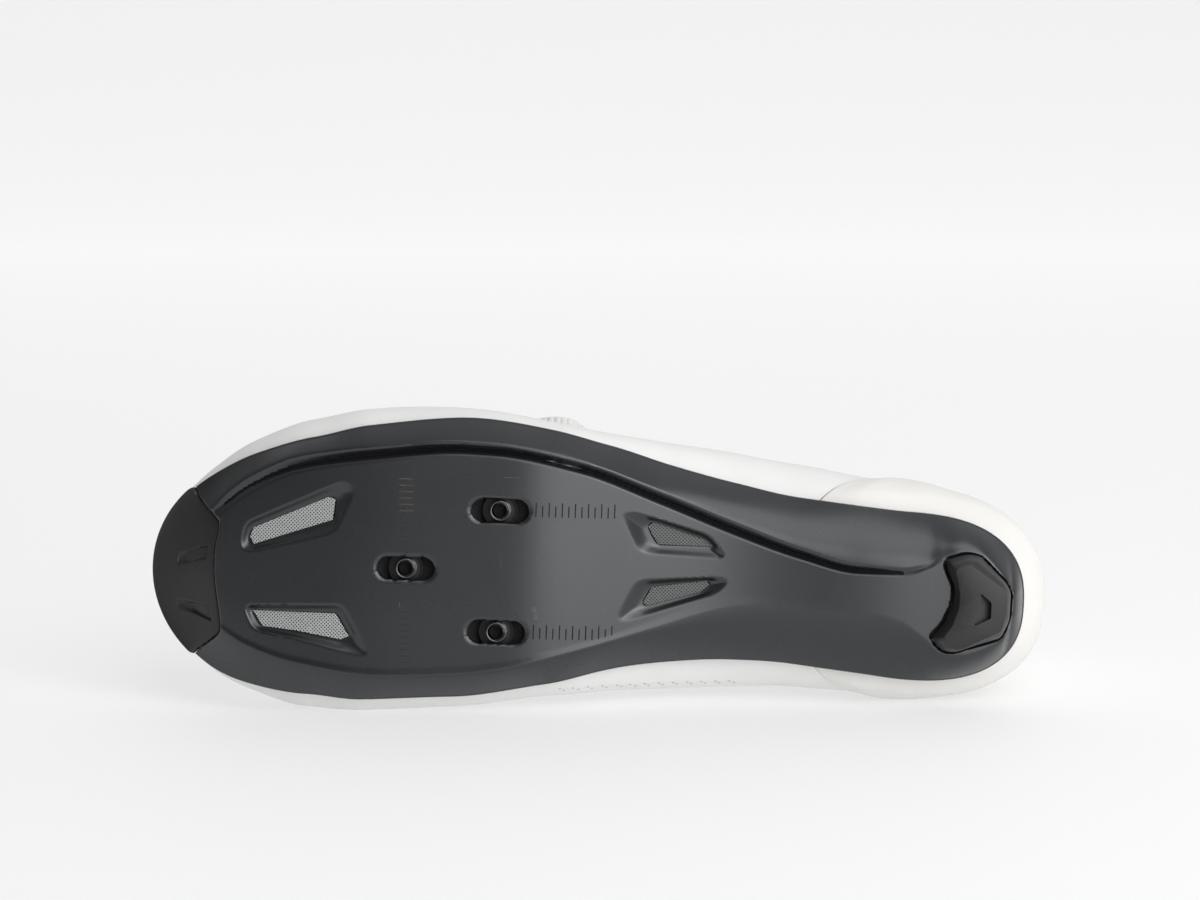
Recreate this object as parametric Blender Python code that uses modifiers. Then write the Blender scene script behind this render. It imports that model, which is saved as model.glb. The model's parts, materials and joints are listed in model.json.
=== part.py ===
"""A left road cycling shoe, lying on its medial side with the sole facing -Y.

The shoe is worked out in its own frame, in millimetres: along from the heel to the toe, across towards
the lateral side, and up from the cleat plane to the instep. The stance empty turns that frame into the
world. Tables hold shares of the named sizes, so the form follows each size.
"""

import math

import bmesh
import bpy
import numpy as np
from mathutils import Matrix, Vector

MM = 0.001

# Stance: how the shoe lies on the floor, and how far the soft upper gives where it bears
LEAN_BACK_DEG = 6.0
TURN_DEG = 2.0
REST_PRESS = 1.0

# Sole
SOLE_LENGTH = 273.6
BALL_WIDTH = 86.4
TOE_SPRING = 20.0
ARCH_RISE = 11.0
RIM_RISE = 8.0
RIM_BAND = 3.0
PLATE = 3.0
CLEAT_PLATE = 4.8
TOE_ROUND = 50.0
HEEL_ROUND = 36.5
GROOVE_WIDTH = 4.6
GROOVE_DEPTH = 1.6
GROOVE_START = 0.19
GROOVE_END = 0.68
LASTING_MARGIN = 0.14
PLATE_STEP = 0.05
BED_SHARES = (0.6, 0.4, 0.0)

# Upper
INSTEP_HEIGHT = 100.0
UPPER_WALL = 1.8
SWELL = 10.0
SWELL_HEIGHT = 15.0
TOE_FAN = 30.0

# Overlays and inner pieces
COUNTER_WALL = 1.2
COUNTER_FRONT = 0.29
COUNTER_FADE = 0.04
COUNTER_WRAP = 1.02
COUNTER_SWEEP = 0.40
COUNTER_FOOT = 0.05
COUNTER_TOP = 0.70
TONGUE_WALL = 3.0
INSOLE_WALL = 3.0
INSOLE_LIP = 0.02
CLEARANCE = 0.3
SOFT_GAP = 1.0
SKIN_GAP = 0.5

# Cleat fixing: three M5 barrel nuts in slots
CLEAT_STATION = 164.9
NUT_ADVANCE = 28.6
NUT_SPREAD = 37.7
NUT_MIDDLE = -2.35
SLOT_LENGTH = 18.0
SLOT_WIDTH = 7.3
SLOT_LIP = 2.5
NUT_BORE = 4.3
NUT_BARREL = 6.4
NUT_FLANGE = 11.0
NUT_FLANGE_WALL = 1.3
NUT_SINK = 0.7
NUT_TRAVEL = 5.0

# Rubber
BUMPER_PROUD = 0.5
BUMPER_SLOT = 1.6
PAD_HEIGHT = 8.2
PAD_BEVEL = 2.6
PAD_RECESS = 1.2

# Vents
SCREEN_WALL = 0.8
SCREEN_SINK = 1.9

# Lace dials
DIAL_BASE = 26.0
DIAL_BASE_WALL = 2.6
DIAL_KNOB = 22.0
DIAL_KNOB_WALL = 6.5
DIAL_BEVEL = 1.2
DIAL_SIDES = 28
LACE = 1.3
LACE_LIFT = 1.6
LACE_START = 0.50
LACE_REACH = 0.56
LACE_BEND = 0.10
LACE_DROP = 0.16
LACE_EDGE = 0.04
GUIDE_WALL = 2.8
GUIDE_MARGIN = 2.5
GUIDE_INNER = 0.54
GUIDE_OUTER = 0.72

# Points round the shoe, and the shares of the wall's height at which the upper and its last have a ring
TURNS = 64
UPPER_RINGS = (0.035, 0.10, 0.20, 0.31, 0.42, 0.53, 0.64, 0.75, 0.84, 0.92, 1.0)
LAST_RINGS = (0.06, 0.14, 0.22, 0.31, 0.41, 0.51, 0.61, 0.71, 0.81, 0.91)

# Station is the share of the sole's length, middle and breadth are shares of the ball width, and the
# rest are shares of the rise that each is named for.
SOLE_COLUMNS = ("station", "middle", "breadth", "arch", "toe", "rim")
SOLE = (
    (0.000, -0.093, 0.302, 0.76, 0.00, 1.15),
    (0.133, -0.080, 0.302, 0.76, 0.00, 1.10),
    (0.188, -0.064, 0.300, 0.80, 0.00, 1.05),
    (0.261, -0.041, 0.300, 0.95, 0.00, 1.05),
    (0.334, -0.015, 0.318, 1.00, 0.00, 1.05),
    (0.407, 0.006, 0.353, 0.86, 0.00, 1.00),
    (0.481, 0.023, 0.405, 0.40, 0.00, 1.00),
    (0.545, 0.023, 0.455, 0.00, 0.00, 1.00),
    (0.652, 0.012, 0.500, 0.00, 0.00, 0.90),
    (0.755, -0.018, 0.491, 0.00, 0.00, 0.85),
    (0.817, -0.037, 0.461, 0.00, 0.09, 0.80),
    (0.883, -0.058, 0.445, 0.00, 0.32, 0.75),
    (0.938, -0.072, 0.445, 0.00, 0.62, 0.70),
    (1.000, -0.070, 0.455, 0.00, 1.00, 0.60),
)

# The plateau's two edges, as shares of the ball width
PLATEAU_COLUMNS = ("station", "lateral", "medial")
PLATEAU = (
    (0.011, 0.060, -0.225),
    (0.042, 0.105, -0.275),
    (0.093, 0.105, -0.285),
    (0.119, 0.020, -0.220),
    (0.147, -0.007, -0.145),
    (0.192, -0.002, -0.115),
    (0.261, 0.040, -0.117),
    (0.329, 0.111, -0.147),
    (0.422, 0.221, -0.229),
    (0.513, 0.325, -0.318),
    (0.650, 0.385, -0.408),
    (0.740, 0.373, -0.421),
    (0.831, 0.307, -0.391),
    (0.888, 0.222, -0.322),
    (0.926, 0.120, -0.260),
    (0.962, 0.040, -0.170),
)

# Ridge and both top edges are shares of the instep height, the swells are shares of SWELL, and
# fullness is the exponent of the section.
UPPER_COLUMNS = ("station", "ridge", "fullness", "swell_lateral", "swell_medial", "edge_lateral",
                 "edge_medial")
UPPER = (
    (0.000, 1.12, 4.0, 0.72, 0.72, 0.88, 0.88),
    (0.015, 1.12, 4.0, 0.72, 0.66, 0.87, 0.87),
    (0.042, 1.12, 3.9, 0.71, 0.58, 0.81, 0.81),
    (0.086, 1.12, 3.7, 0.70, 0.57, 0.71, 0.72),
    (0.133, 1.10, 3.4, 0.86, 0.67, 0.63, 0.65),
    (0.188, 1.04, 3.0, 0.90, 0.80, 0.60, 0.63),
    (0.261, 1.00, 2.7, 1.02, 0.94, 0.65, 0.68),
    (0.334, 1.00, 2.4, 0.94, 1.10, 0.83, 0.84),
    (0.371, 0.99, 2.3, 0.84, 1.13, 0.915, 0.915),
    (0.407, 0.955, 2.2, 0.72, 1.12, 0.895, 0.895),
    (0.481, 0.875, 2.1, 0.42, 0.92, 0.830, 0.830),
    (0.554, 0.790, 2.1, 0.30, 0.62, 0.760, 0.760),
    (0.640, 0.675, 2.15, 0.36, 0.58, 0.668, 0.668),
    (0.675, 0.630, 2.2, 0.44, 0.60, 0.640, 0.640),
    (0.736, 0.575, 2.2, 0.60, 0.64, 0.600, 0.600),
    (0.817, 0.515, 2.3, 0.68, 0.70, 0.600, 0.600),
    (0.883, 0.480, 2.4, 0.58, 0.44, 0.600, 0.600),
    (0.938, 0.470, 2.5, 0.34, 0.26, 0.600, 0.600),
    (1.000, 0.460, 2.6, 0.02, 0.02, 0.600, 0.600),
)

# Outlines on the sole: each point is a share of the sole's length and a share of the ball width.
# A vent has the outline of its mouth and that of its screen, corner for corner.
VENTS = {
    "front_lateral": (
        ((0.896, 0.022), (0.891, 0.108), (0.781, 0.272), (0.770, 0.245), (0.791, 0.097), (0.886, 0.014)),
        ((0.889, 0.058), (0.885, 0.093), (0.796, 0.221), (0.788, 0.214), (0.790, 0.137), (0.884, 0.032)),
    ),
    "front_medial": (
        ((0.890, -0.191), (0.779, -0.171), (0.749, -0.336), (0.755, -0.341), (0.830, -0.289), (0.878, -0.269)),
        ((0.883, -0.203), (0.784, -0.197), (0.768, -0.280), (0.777, -0.294), (0.831, -0.271), (0.871, -0.259)),
    ),
    "rear_lateral": (
        ((0.463, 0.186), (0.451, 0.193), (0.367, 0.118), (0.347, 0.042), (0.436, 0.057), (0.444, 0.069)),
        ((0.436, 0.150), (0.429, 0.166), (0.366, 0.101), (0.357, 0.078), (0.423, 0.079), (0.430, 0.110)),
    ),
    "rear_medial": (
        ((0.464, -0.181), (0.458, -0.193), (0.358, -0.088), (0.345, -0.052), (0.348, -0.036), (0.443, -0.054)),
        ((0.439, -0.131), (0.434, -0.145), (0.371, -0.088), (0.360, -0.060), (0.363, -0.043), (0.429, -0.071)),
    ),
}
BUMPER_EDGE = ((0.956, 0.60), (0.956, 0.205), (0.925, 0.117), (0.924, 0.096), (0.929, 0.003),
               (0.928, -0.097), (0.919, -0.264), (0.920, -0.301), (0.954, -0.385), (0.954, -0.90),
               (1.060, -0.90), (1.060, 0.60))
BUMPER_SLOTS = (
    ((0.975, -0.032), (0.972, -0.052), (0.941, -0.032), (0.935, 0.016), (0.941, 0.019), (0.973, -0.015)),
    ((0.975, -0.177), (0.970, -0.206), (0.932, -0.258), (0.934, -0.211), (0.967, -0.183)),
)
HEEL_PAD = ((0.094, 0.064), (0.071, 0.087), (0.055, 0.080), (0.025, -0.010), (0.019, -0.045), (0.020, -0.148),
            (0.029, -0.211), (0.084, -0.269), (0.095, -0.262), (0.108, -0.219), (0.094, -0.169),
            (0.084, -0.087), (0.083, -0.031), (0.092, 0.030))
PAD_MARK = ((0.060, -0.039), (0.042, -0.073), (0.043, -0.148), (0.065, -0.171), (0.061, -0.108))

# The tongue's half width is a share of the half section that it lies in.
TONGUE_COLUMNS = ("station", "width")
TONGUE = (
    (0.352, 0.66),
    (0.420, 0.62),
    (0.550, 0.52),
    (0.660, 0.40),
    (0.745, 0.26),
)

# Lace dials and their laces: stations along the instep, and how far round the section each one lies
DIALS = {
    "upper": {"station": 0.371, "round": 0.50, "exits": (0.350, 0.392)},
    "lower": {"station": 0.546, "round": 0.50, "exits": (0.525, 0.567)},
}


def column(table, columns, name):
    """One named column of a table, as an array."""
    return np.array([row[columns.index(name)] for row in table], float)


def smooth(x, stations, values):
    """A monotone cubic through the rows of a table: level stretches stay level."""
    step = np.diff(stations)
    slope = np.diff(values) / step
    rising = slope[:-1] * slope[1:] > 0
    total = np.where(rising, slope[:-1] + slope[1:], 1.0)
    inner = np.where(rising, 2 * slope[:-1] * slope[1:] / total, 0.0)
    tangent = np.concatenate([slope[:1], inner, slope[-1:]])
    x = np.clip(x, stations[0], stations[-1])
    at = np.clip(np.searchsorted(stations, x, side="right") - 1, 0, len(step) - 1)
    t = (x - stations[at]) / step[at]
    ends = values[at] * (1 + 2 * t) * (1 - t) ** 2 + values[at + 1] * t * t * (3 - 2 * t)
    bends = tangent[at] * t * (1 - t) ** 2 + tangent[at + 1] * t * t * (t - 1)
    return ends + step[at] * bends


def sole_at(along, name):
    """A column of the sole table at a distance along the shoe."""
    return smooth(along / SOLE_LENGTH, column(SOLE, SOLE_COLUMNS, "station"), column(SOLE, SOLE_COLUMNS, name))


def upper_at(along, name):
    """A column of the upper table at a distance along the shoe."""
    stations = column(UPPER, UPPER_COLUMNS, "station")
    return smooth(along / SOLE_LENGTH, stations, column(UPPER, UPPER_COLUMNS, name))


def plateau_at(along, name):
    """One edge of the plateau at a distance along the shoe."""
    stations = column(PLATEAU, PLATEAU_COLUMNS, "station")
    return BALL_WIDTH * smooth(along / SOLE_LENGTH, stations, column(PLATEAU, PLATEAU_COLUMNS, name))


def keel(along):
    """Height of the sole's underside along its middle: flat under the cleat and under the heel pad."""
    return ARCH_RISE * sole_at(along, "arch") + TOE_SPRING * sole_at(along, "toe")


def plate_wall(along):
    """Thickness of the plate, greatest where the cleat bolts on."""
    reach = np.abs(along - CLEAT_STATION - NUT_ADVANCE / 2) - NUT_ADVANCE / 2 - SLOT_LENGTH
    share = np.clip(1 - reach / SLOT_LENGTH, 0, 1)
    return PLATE + (CLEAT_PLATE - PLATE) * share


def half_breadth(along):
    """Half the sole's width, rounded off to nothing at the toe and at the heel."""
    to_toe = np.clip(1 - (SOLE_LENGTH - along) / TOE_ROUND, 0, 1)
    to_heel = np.clip(1 - along / HEEL_ROUND, 0, 1)
    rounding = (1 - to_toe**2) ** 0.5 * (1 - to_heel**2.5) ** 0.4
    return BALL_WIDTH * sole_at(along, "breadth") * rounding


def ray(turn):
    """The foot of each ray on the sole's outline and its start on the spine, for turns round the shoe."""
    half = SOLE_LENGTH / 2
    reach = half * np.cos(turn)
    foot_along = half + reach
    foot_across = BALL_WIDTH * sole_at(foot_along, "middle") + np.sign(np.sin(turn)) * half_breadth(foot_along)
    spine_along = half + reach * (1 - TOE_FAN / half * np.abs(reach / half) ** 3)
    spine_across = BALL_WIDTH * sole_at(spine_along, "middle")
    return foot_along, foot_across, spine_along, spine_across


def rim_bottom(turn):
    """Height of the lower corner of the sole's rim."""
    along = ray(turn)[0]
    return keel(along) + RIM_RISE * sole_at(along, "rim")


def on_ray(turn, share, height):
    """Points at a share of the way from the spine to the outline, at a height."""
    foot_along, foot_across, spine_along, spine_across = ray(turn)
    along = spine_along + share * (foot_along - spine_along)
    across = spine_across + share * (foot_across - spine_across)
    return np.stack([along, across, height + 0 * along], axis=-1)


def free_last(turn, rise):
    """The outside of the upper's last. Rise goes from 0 at the sole to 1 at the ridge of the instep.

    Each section is a superellipse whose exponent is the fullness, with the side swell added, which
    grows to its full size at SWELL_HEIGHT above the sole's edge and then fades.
    """
    foot_along, foot_across, spine_along, spine_across = ray(turn)
    power = 2 / upper_at(foot_along, "fullness")
    angle = np.clip(rise, 0, 1) * math.pi / 2
    share = np.clip(np.cos(angle), 0, 1) ** power
    start = rim_bottom(turn) + RIM_BAND + CLEARANCE
    height = start + (INSTEP_HEIGHT * upper_at(spine_along, "ridge") - start) * np.sin(angle) ** power
    lateral = (1 + np.sin(turn)) / 2
    swell = lateral * upper_at(foot_along, "swell_lateral") + (1 - lateral) * upper_at(foot_along, "swell_medial")
    lift = (height - start) / SWELL_HEIGHT
    length = np.hypot(foot_along - spine_along, foot_across - spine_across)
    out = share * (1 + SWELL * swell * lift * np.exp(1 - lift) / length)
    along = spine_along + out * (foot_along - spine_along)
    across = spine_across + out * (foot_across - spine_across)
    return np.stack([along, across, height], axis=-1)


def over_floor(points):
    """How far points of the shoe lie above a plane parallel to the floor that it rests on."""
    lean, turn = math.radians(LEAN_BACK_DEG), math.radians(TURN_DEG)
    level = math.cos(lean) * (math.sin(turn) * points[..., 0] + math.cos(turn) * points[..., 1])
    return level - math.sin(lean) * points[..., 2]


def counter_room(along):
    """What the heel counter adds outside the upper, at a distance along the shoe."""
    cover = np.clip(1 + (COUNTER_FRONT - along / SOLE_LENGTH) / COUNTER_FADE, 0, 1)
    return cover * (SKIN_GAP + COUNTER_WALL)


def floor_level():
    """Where the floor lies: REST_PRESS inside the first points of the last that would touch it."""
    turn, rise = np.meshgrid(np.linspace(0, 2 * math.pi, 181), np.linspace(0.02, 0.9, 45))
    points = free_last(turn, rise)
    return float((over_floor(points) - counter_room(points[..., 0])).min()) + REST_PRESS


def last_surface(turn, rise):
    """The last as it lies: its medial side is pressed flat where the floor bears it."""
    points = free_last(turn, rise)
    short = floor_level() + counter_room(points[..., 0]) - over_floor(points)
    slope = math.cos(math.radians(LEAN_BACK_DEG)) * math.cos(math.radians(TURN_DEG))
    points[..., 1] += np.maximum(short, 0) / slope
    return points


def skin(turn, rise, proud):
    """Points at a distance outside the last's surface, along its normals."""
    turn, rise = np.broadcast_arrays(np.asarray(turn, float), np.asarray(rise, float))
    small = 1e-3
    inside = np.clip(rise, 0.02, 0.995)
    around = last_surface(turn + small, inside) - last_surface(turn - small, inside)
    upward = last_surface(turn, inside + small) - last_surface(turn, inside - small)
    normal = np.cross(around, upward)
    normal /= np.linalg.norm(normal, axis=-1, keepdims=True)
    return last_surface(turn, rise) + np.asarray(proud, float)[..., None] * normal


def section_rise(along, side, share):
    """The turn and the rise of a point at a share of the half section, over a place on the spine."""
    turns = np.linspace(0.02, math.pi - 0.02, 400)
    spine = ray(turns)[2][::-1]
    turn = np.interp(along, spine, turns[::-1])
    fullness = upper_at(ray(turn)[0], "fullness")
    rise = np.arccos(np.clip(share ** (fullness / 2), 0, 1)) * 2 / math.pi
    return np.where(side > 0, turn, -turn), rise


def top_rise(turn):
    """How far up each ray the upper goes, to the collar, the throat or, in front of it, the ridge."""
    foot_along, _, spine_along, _ = ray(turn)
    lateral = (1 + np.sin(turn)) / 2
    edge = lateral * upper_at(foot_along, "edge_lateral") + (1 - lateral) * upper_at(foot_along, "edge_medial")
    start = rim_bottom(turn) + RIM_BAND + CLEARANCE
    top = INSTEP_HEIGHT * upper_at(spine_along, "ridge")
    share = np.clip((INSTEP_HEIGHT * edge - start) / (top - start), 0, 1)
    return np.arcsin(share ** (upper_at(foot_along, "fullness") / 2)) * 2 / math.pi


def throat_share(turn):
    """How far out from the spine the upper's top edge lies, as a share of the half section."""
    return np.cos(top_rise(turn) * math.pi / 2) ** (2 / upper_at(ray(turn)[0], "fullness"))


def place(points):
    """Shoe millimetres to metres in the stance's frame: toe to -X, upper to +Y, lateral side to +Z."""
    points = np.asarray(points, float)
    return np.stack([-points[..., 0], points[..., 2], points[..., 1]], axis=-1) * MM


def material(name, colour, roughness, metallic=0.0):
    made = bpy.data.materials.get(name) or bpy.data.materials.new(name)
    made.use_nodes = True
    shader = made.node_tree.nodes["Principled BSDF"]
    shader.inputs["Base Color"].default_value = (*colour, 1.0)
    shader.inputs["Roughness"].default_value = roughness
    shader.inputs["Metallic"].default_value = metallic
    return made


def mesh_object(name, points, faces, collection, finish=None):
    """A mesh from shoe points, its doubles merged and its faces turned outwards."""
    mesh = bpy.data.meshes.new(name)
    mesh.from_pydata(place(points).tolist(), [], faces)
    work = bmesh.new()
    work.from_mesh(mesh)
    bmesh.ops.remove_doubles(work, verts=work.verts, dist=1e-6)
    bmesh.ops.dissolve_degenerate(work, edges=work.edges, dist=1e-7)
    bmesh.ops.recalc_face_normals(work, faces=work.faces)
    work.to_mesh(mesh)
    work.free()
    made = bpy.data.objects.new(name, mesh)
    made.parent = bpy.data.objects["stance"]
    collection.objects.link(made)
    if finish:
        mesh.materials.append(finish)
        mesh.shade_smooth()
        mesh.set_sharp_from_angle(angle=math.radians(35))
    else:
        made.hide_render = True
        made.display_type = "WIRE"
    return made


def ring_faces(rings, count):
    """Faces between rings of points that go right round."""
    step = np.arange(count)
    after = (step + 1) % count
    faces = []
    for ring in range(rings - 1):
        low, high = ring * count, (ring + 1) * count
        faces += np.stack([low + step, low + after, high + after, high + step], axis=1).tolist()
    return faces


def grid_faces(rows, columns):
    """Faces of an open grid."""
    corner = (np.arange(rows - 1)[:, None] * columns + np.arange(columns - 1)[None, :]).ravel()
    return np.stack([corner, corner + 1, corner + columns + 1, corner + columns], axis=1).tolist()


def ring_object(name, rings, collection, finish=None):
    rings = np.asarray(rings)
    return mesh_object(name, rings.reshape(-1, 3), ring_faces(*rings.shape[:2]), collection, finish)


def prism(name, outlines, collection, finish=None):
    """A closed solid through outlines of the same number of corners, one above another."""
    outlines = np.asarray(outlines, float)
    levels, count = outlines.shape[:2]
    faces = ring_faces(levels, count) + [list(range(count)), [(levels - 1) * count + i for i in range(count)]]
    return mesh_object(name, outlines.reshape(-1, 3), faces, collection, finish)


def flat_outline(shares):
    """Corners given as shares, in millimetres."""
    return np.asarray(shares) * (SOLE_LENGTH, BALL_WIDTH)


def inset(outline, distance):
    """An outline moved inwards, corner by corner, towards its own centre."""
    outline = np.asarray(outline, float)
    away = outline - outline.mean(axis=0)
    return outline - away / np.linalg.norm(away, axis=1, keepdims=True) * distance


def at_height(outline, height):
    return np.column_stack([outline, np.broadcast_to(height, len(outline))])


def stadium(centre, length, width):
    """A slot's outline along the shoe: two half circles joined by straight sides."""
    angles = np.concatenate([np.linspace(-90, 90, 9), np.linspace(90, 270, 9)])
    shift = np.repeat([1, -1], 9) * (length - width) / 2
    along = centre[0] + shift + width / 2 * np.cos(np.radians(angles))
    return np.column_stack([along, centre[1] + width / 2 * np.sin(np.radians(angles))])


def boolean(target, other, operation="DIFFERENCE"):
    cut = target.modifiers.new(other.name, "BOOLEAN")
    cut.operation = operation
    cut.object = other
    return cut


def shell(target, wall, outwards=False):
    """Gives an open surface its wall, inwards from the modelled side unless told otherwise."""
    made = target.modifiers.new("wall", "SOLIDIFY")
    made.thickness = wall * MM
    made.offset = 1 if outwards else -1
    made.use_even_offset = False
    return made


def nut_places():
    """Where the three barrel nuts stand: the front one on the middle, the rear two side by side."""
    return {
        "front": (CLEAT_STATION + NUT_ADVANCE, NUT_MIDDLE),
        "rear_lateral": (CLEAT_STATION, NUT_MIDDLE + NUT_SPREAD / 2),
        "rear_medial": (CLEAT_STATION, NUT_MIDDLE - NUT_SPREAD / 2),
    }


def plateau_share(turn):
    """How far along each ray the flat plateau reaches, as a share of the ray."""
    shares = np.linspace(0, 1, 101)[:, None]
    spots = on_ray(turn[None, :], shares, 0.0)
    along, across = spots[..., 0], spots[..., 1]
    ends = SOLE_LENGTH * column(PLATEAU, PLATEAU_COLUMNS, "station")[[0, -1]]
    inside = np.minimum(plateau_at(along, "lateral") - across, across - plateau_at(along, "medial"))
    inside = np.minimum(inside, np.minimum(along - ends[0], ends[1] - along))
    return np.clip(shares[np.argmax(inside < 0, axis=0), 0], 0.3, 0.86)


def underside(turn, share):
    """The sole's underside: flat across the plateau, then climbing to the rim."""
    spot = on_ray(turn, share, 0.0)
    level = keel(spot[:, 0])
    plateau = plateau_share(turn)
    climb = np.clip((share - plateau) / (1 - plateau), 0, 1) ** 1.4
    spot[:, 2] = level + (rim_bottom(turn) - level) * climb
    return spot


def inner_face(turn, share):
    """The face of the plate that the insole lies on."""
    spot = underside(turn, share)
    spot[:, 2] += plate_wall(spot[:, 0])
    return spot


def raised(points, height):
    return points + np.stack([0 * points[:, 0], 0 * points[:, 0], height + 0 * points[:, 0]], axis=-1)


def sole_form(name, proud, collection, finish=None):
    """The whole sole as one closed form: underside, groove, rim, ledge and inner face."""
    turn = np.arange(TURNS) * 2 * math.pi / TURNS
    foot_along, foot_across, spine_along, spine_across = ray(turn)
    length = np.hypot(foot_along - spine_along, foot_across - spine_across)
    plateau = plateau_share(turn)
    groove = np.minimum(plateau + GROOVE_WIDTH / length, 0.95)
    grooved = (np.sin(turn) > 0.2) & (foot_along > GROOVE_START * SOLE_LENGTH)
    depth = np.where(grooved & (foot_along < GROOVE_END * SOLE_LENGTH), GROOVE_DEPTH, 0.0)
    rim_top = rim_bottom(turn) + RIM_BAND
    ledge = 1 - LASTING_MARGIN
    below = [underside(turn, share) for share in (0 * turn, plateau * 0.5, plateau)]
    below.append(raised(underside(turn, (plateau + groove) / 2), depth))
    below += [underside(turn, groove), underside(turn, (groove + 1) / 2)]
    rings = [raised(ring, -proud) for ring in below]
    rings += [on_ray(turn, 1 + proud / length, rim_bottom(turn) - proud), on_ray(turn, 1 + proud / length, rim_top),
              on_ray(turn, ledge, rim_top)]
    rings += [inner_face(turn, share + 0 * turn) for share in (ledge - PLATE_STEP, *BED_SHARES)]
    return ring_object(name, rings, collection, finish)


def build_outsole(parts, cutters, carbon):
    outsole = sole_form("outsole", 0.0, parts, carbon)
    for name, (mouth, screen) in VENTS.items():
        mouth, screen = flat_outline(mouth), flat_outline(screen)
        flare = mouth + (mouth - screen)
        heights = [(flare, -SCREEN_SINK), (mouth, 0.0), (screen, SCREEN_SINK), (screen, 3 * CLEAT_PLATE)]
        levels = [at_height(spots, keel(spots[:, 0]) + height) for spots, height in heights]
        boolean(outsole, prism("vent_" + name, levels, cutters))
    pocket = NUT_FLANGE + 2 * CLEARANCE
    for name, centre in nut_places().items():
        slot = stadium(centre, SLOT_LENGTH, SLOT_WIDTH)
        levels = [at_height(slot, -CLEAT_PLATE), at_height(slot, CLEAT_PLATE)]
        boolean(outsole, prism("slot_" + name, levels, cutters))
        room = stadium(centre, pocket + 2 * NUT_TRAVEL + CLEARANCE, pocket)
        levels = [at_height(room, SLOT_LIP), at_height(room, 3 * CLEAT_PLATE)]
        boolean(outsole, prism("pocket_" + name, levels, cutters))
    boolean(outsole, bumper_region("bumper_seat", CLEARANCE / 2, cutters))
    return outsole


def bumper_region(name, grow, cutters):
    """The block that parts the toe bumper from the outsole, grown to leave the joint between them."""
    outline = flat_outline(BUMPER_EDGE)
    outline[:-2, 0] -= grow
    outline[-2:, 0] += grow
    return prism(name, [at_height(outline, -TOE_SPRING), at_height(outline, 4 * TOE_SPRING)], cutters)


def build_bumper(parts, cutters, rubber):
    bumper = sole_form("toe_bumper", BUMPER_PROUD, parts, rubber)
    boolean(bumper, bumper_region("bumper_block", -CLEARANCE / 2, cutters), "INTERSECT")
    for number, shares in enumerate(BUMPER_SLOTS):
        spots = flat_outline(shares)
        bottom = keel(spots[:, 0]) - BUMPER_PROUD
        levels = [at_height(spots, bottom - TOE_SPRING), at_height(spots, bottom + BUMPER_SLOT)]
        boolean(bumper, prism(f"bumper_slot_{number}", levels, cutters))


def build_heel_pad(parts, cutters, rubber):
    outline = flat_outline(HEEL_PAD)
    seat = float(keel(np.array([0.06 * SOLE_LENGTH]))[0]) - CLEARANCE
    floor = seat - PAD_HEIGHT + CLEARANCE
    levels = [at_height(inset(outline, PAD_BEVEL), floor), at_height(outline, floor + PAD_BEVEL),
              at_height(outline, seat)]
    pad = prism("heel_pad", levels, parts, rubber)
    mark = flat_outline(PAD_MARK)
    levels = [at_height(mark, floor - PAD_BEVEL), at_height(mark, floor + PAD_RECESS)]
    boolean(pad, prism("pad_mark", levels, cutters))


def build_screens(parts, weave):
    for name, (_, screen) in VENTS.items():
        outline = inset(flat_outline(screen), SKIN_GAP)
        low = keel(outline[:, 0]) + SCREEN_SINK
        prism("vent_screen_" + name, [at_height(outline, low), at_height(outline, low + SCREEN_WALL)], parts, weave)


def build_nuts(parts, steel):
    """A barrel that shows in the slot and a flange that runs in the pocket behind it, turned in one piece."""
    top = SLOT_LIP + CLEARANCE
    bore, barrel, flange = NUT_BORE / 2, NUT_BARREL / 2, NUT_FLANGE / 2
    profile = [(bore, top + NUT_FLANGE_WALL), (flange, top + NUT_FLANGE_WALL), (flange, top), (barrel, top),
               (barrel, NUT_SINK), (bore, NUT_SINK)]
    for name, (along, across) in nut_places().items():
        points = [(radius * MM, 0, height * MM) for radius, height in profile]
        mesh = bpy.data.meshes.new("cleat_nut_" + name)
        mesh.from_pydata(points, [(i, (i + 1) % len(points)) for i in range(len(points))], [])
        mesh.materials.append(steel)
        nut = bpy.data.objects.new("cleat_nut_" + name, mesh)
        parts.objects.link(nut)
        nut.parent = bpy.data.objects["stance"]
        nut.location = place((along, across, 0))
        nut.rotation_euler = (-math.pi / 2, 0, 0)
        turned = nut.modifiers.new("turned", "SCREW")
        turned.steps = turned.render_steps = 20
        turned.use_merge_vertices = False
        turned.use_normal_calculate = False


def build_upper(parts, microfibre):
    """One shell: the lasting margin turned under, the featherline, and the section up to its top edge."""
    turn = np.arange(TURNS) * 2 * math.pi / TURNS
    start = rim_bottom(turn) + RIM_BAND + CLEARANCE
    rings = [on_ray(turn, 1 - LASTING_MARGIN, start), on_ray(turn, 0.97, start)]
    rings += [last_surface(turn, share * top_rise(turn)) for share in UPPER_RINGS]
    upper = ring_object("upper", rings, parts, microfibre)
    shell(upper, UPPER_WALL)


def build_counter(parts, panel):
    """A stiff panel round the heel: its front edges curve back as they rise."""
    rows = [share for share in UPPER_RINGS if COUNTER_FOOT < share < COUNTER_TOP]
    heights = np.array([COUNTER_FOOT, *rows, COUNTER_TOP])[:, None]
    climb = (heights - COUNTER_FOOT) / (COUNTER_TOP - COUNTER_FOOT)
    sweep = np.linspace(-1, 1, 23)[None, :]
    turn = math.pi - sweep * (COUNTER_WRAP - COUNTER_SWEEP * climb**1.5)
    points = skin(turn, heights * top_rise(turn), SKIN_GAP)
    faces = grid_faces(*points.shape[:2])
    counter = mesh_object("heel_counter", points.reshape(-1, 3), faces, parts, panel)
    shell(counter, COUNTER_WALL, outwards=True)


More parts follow.
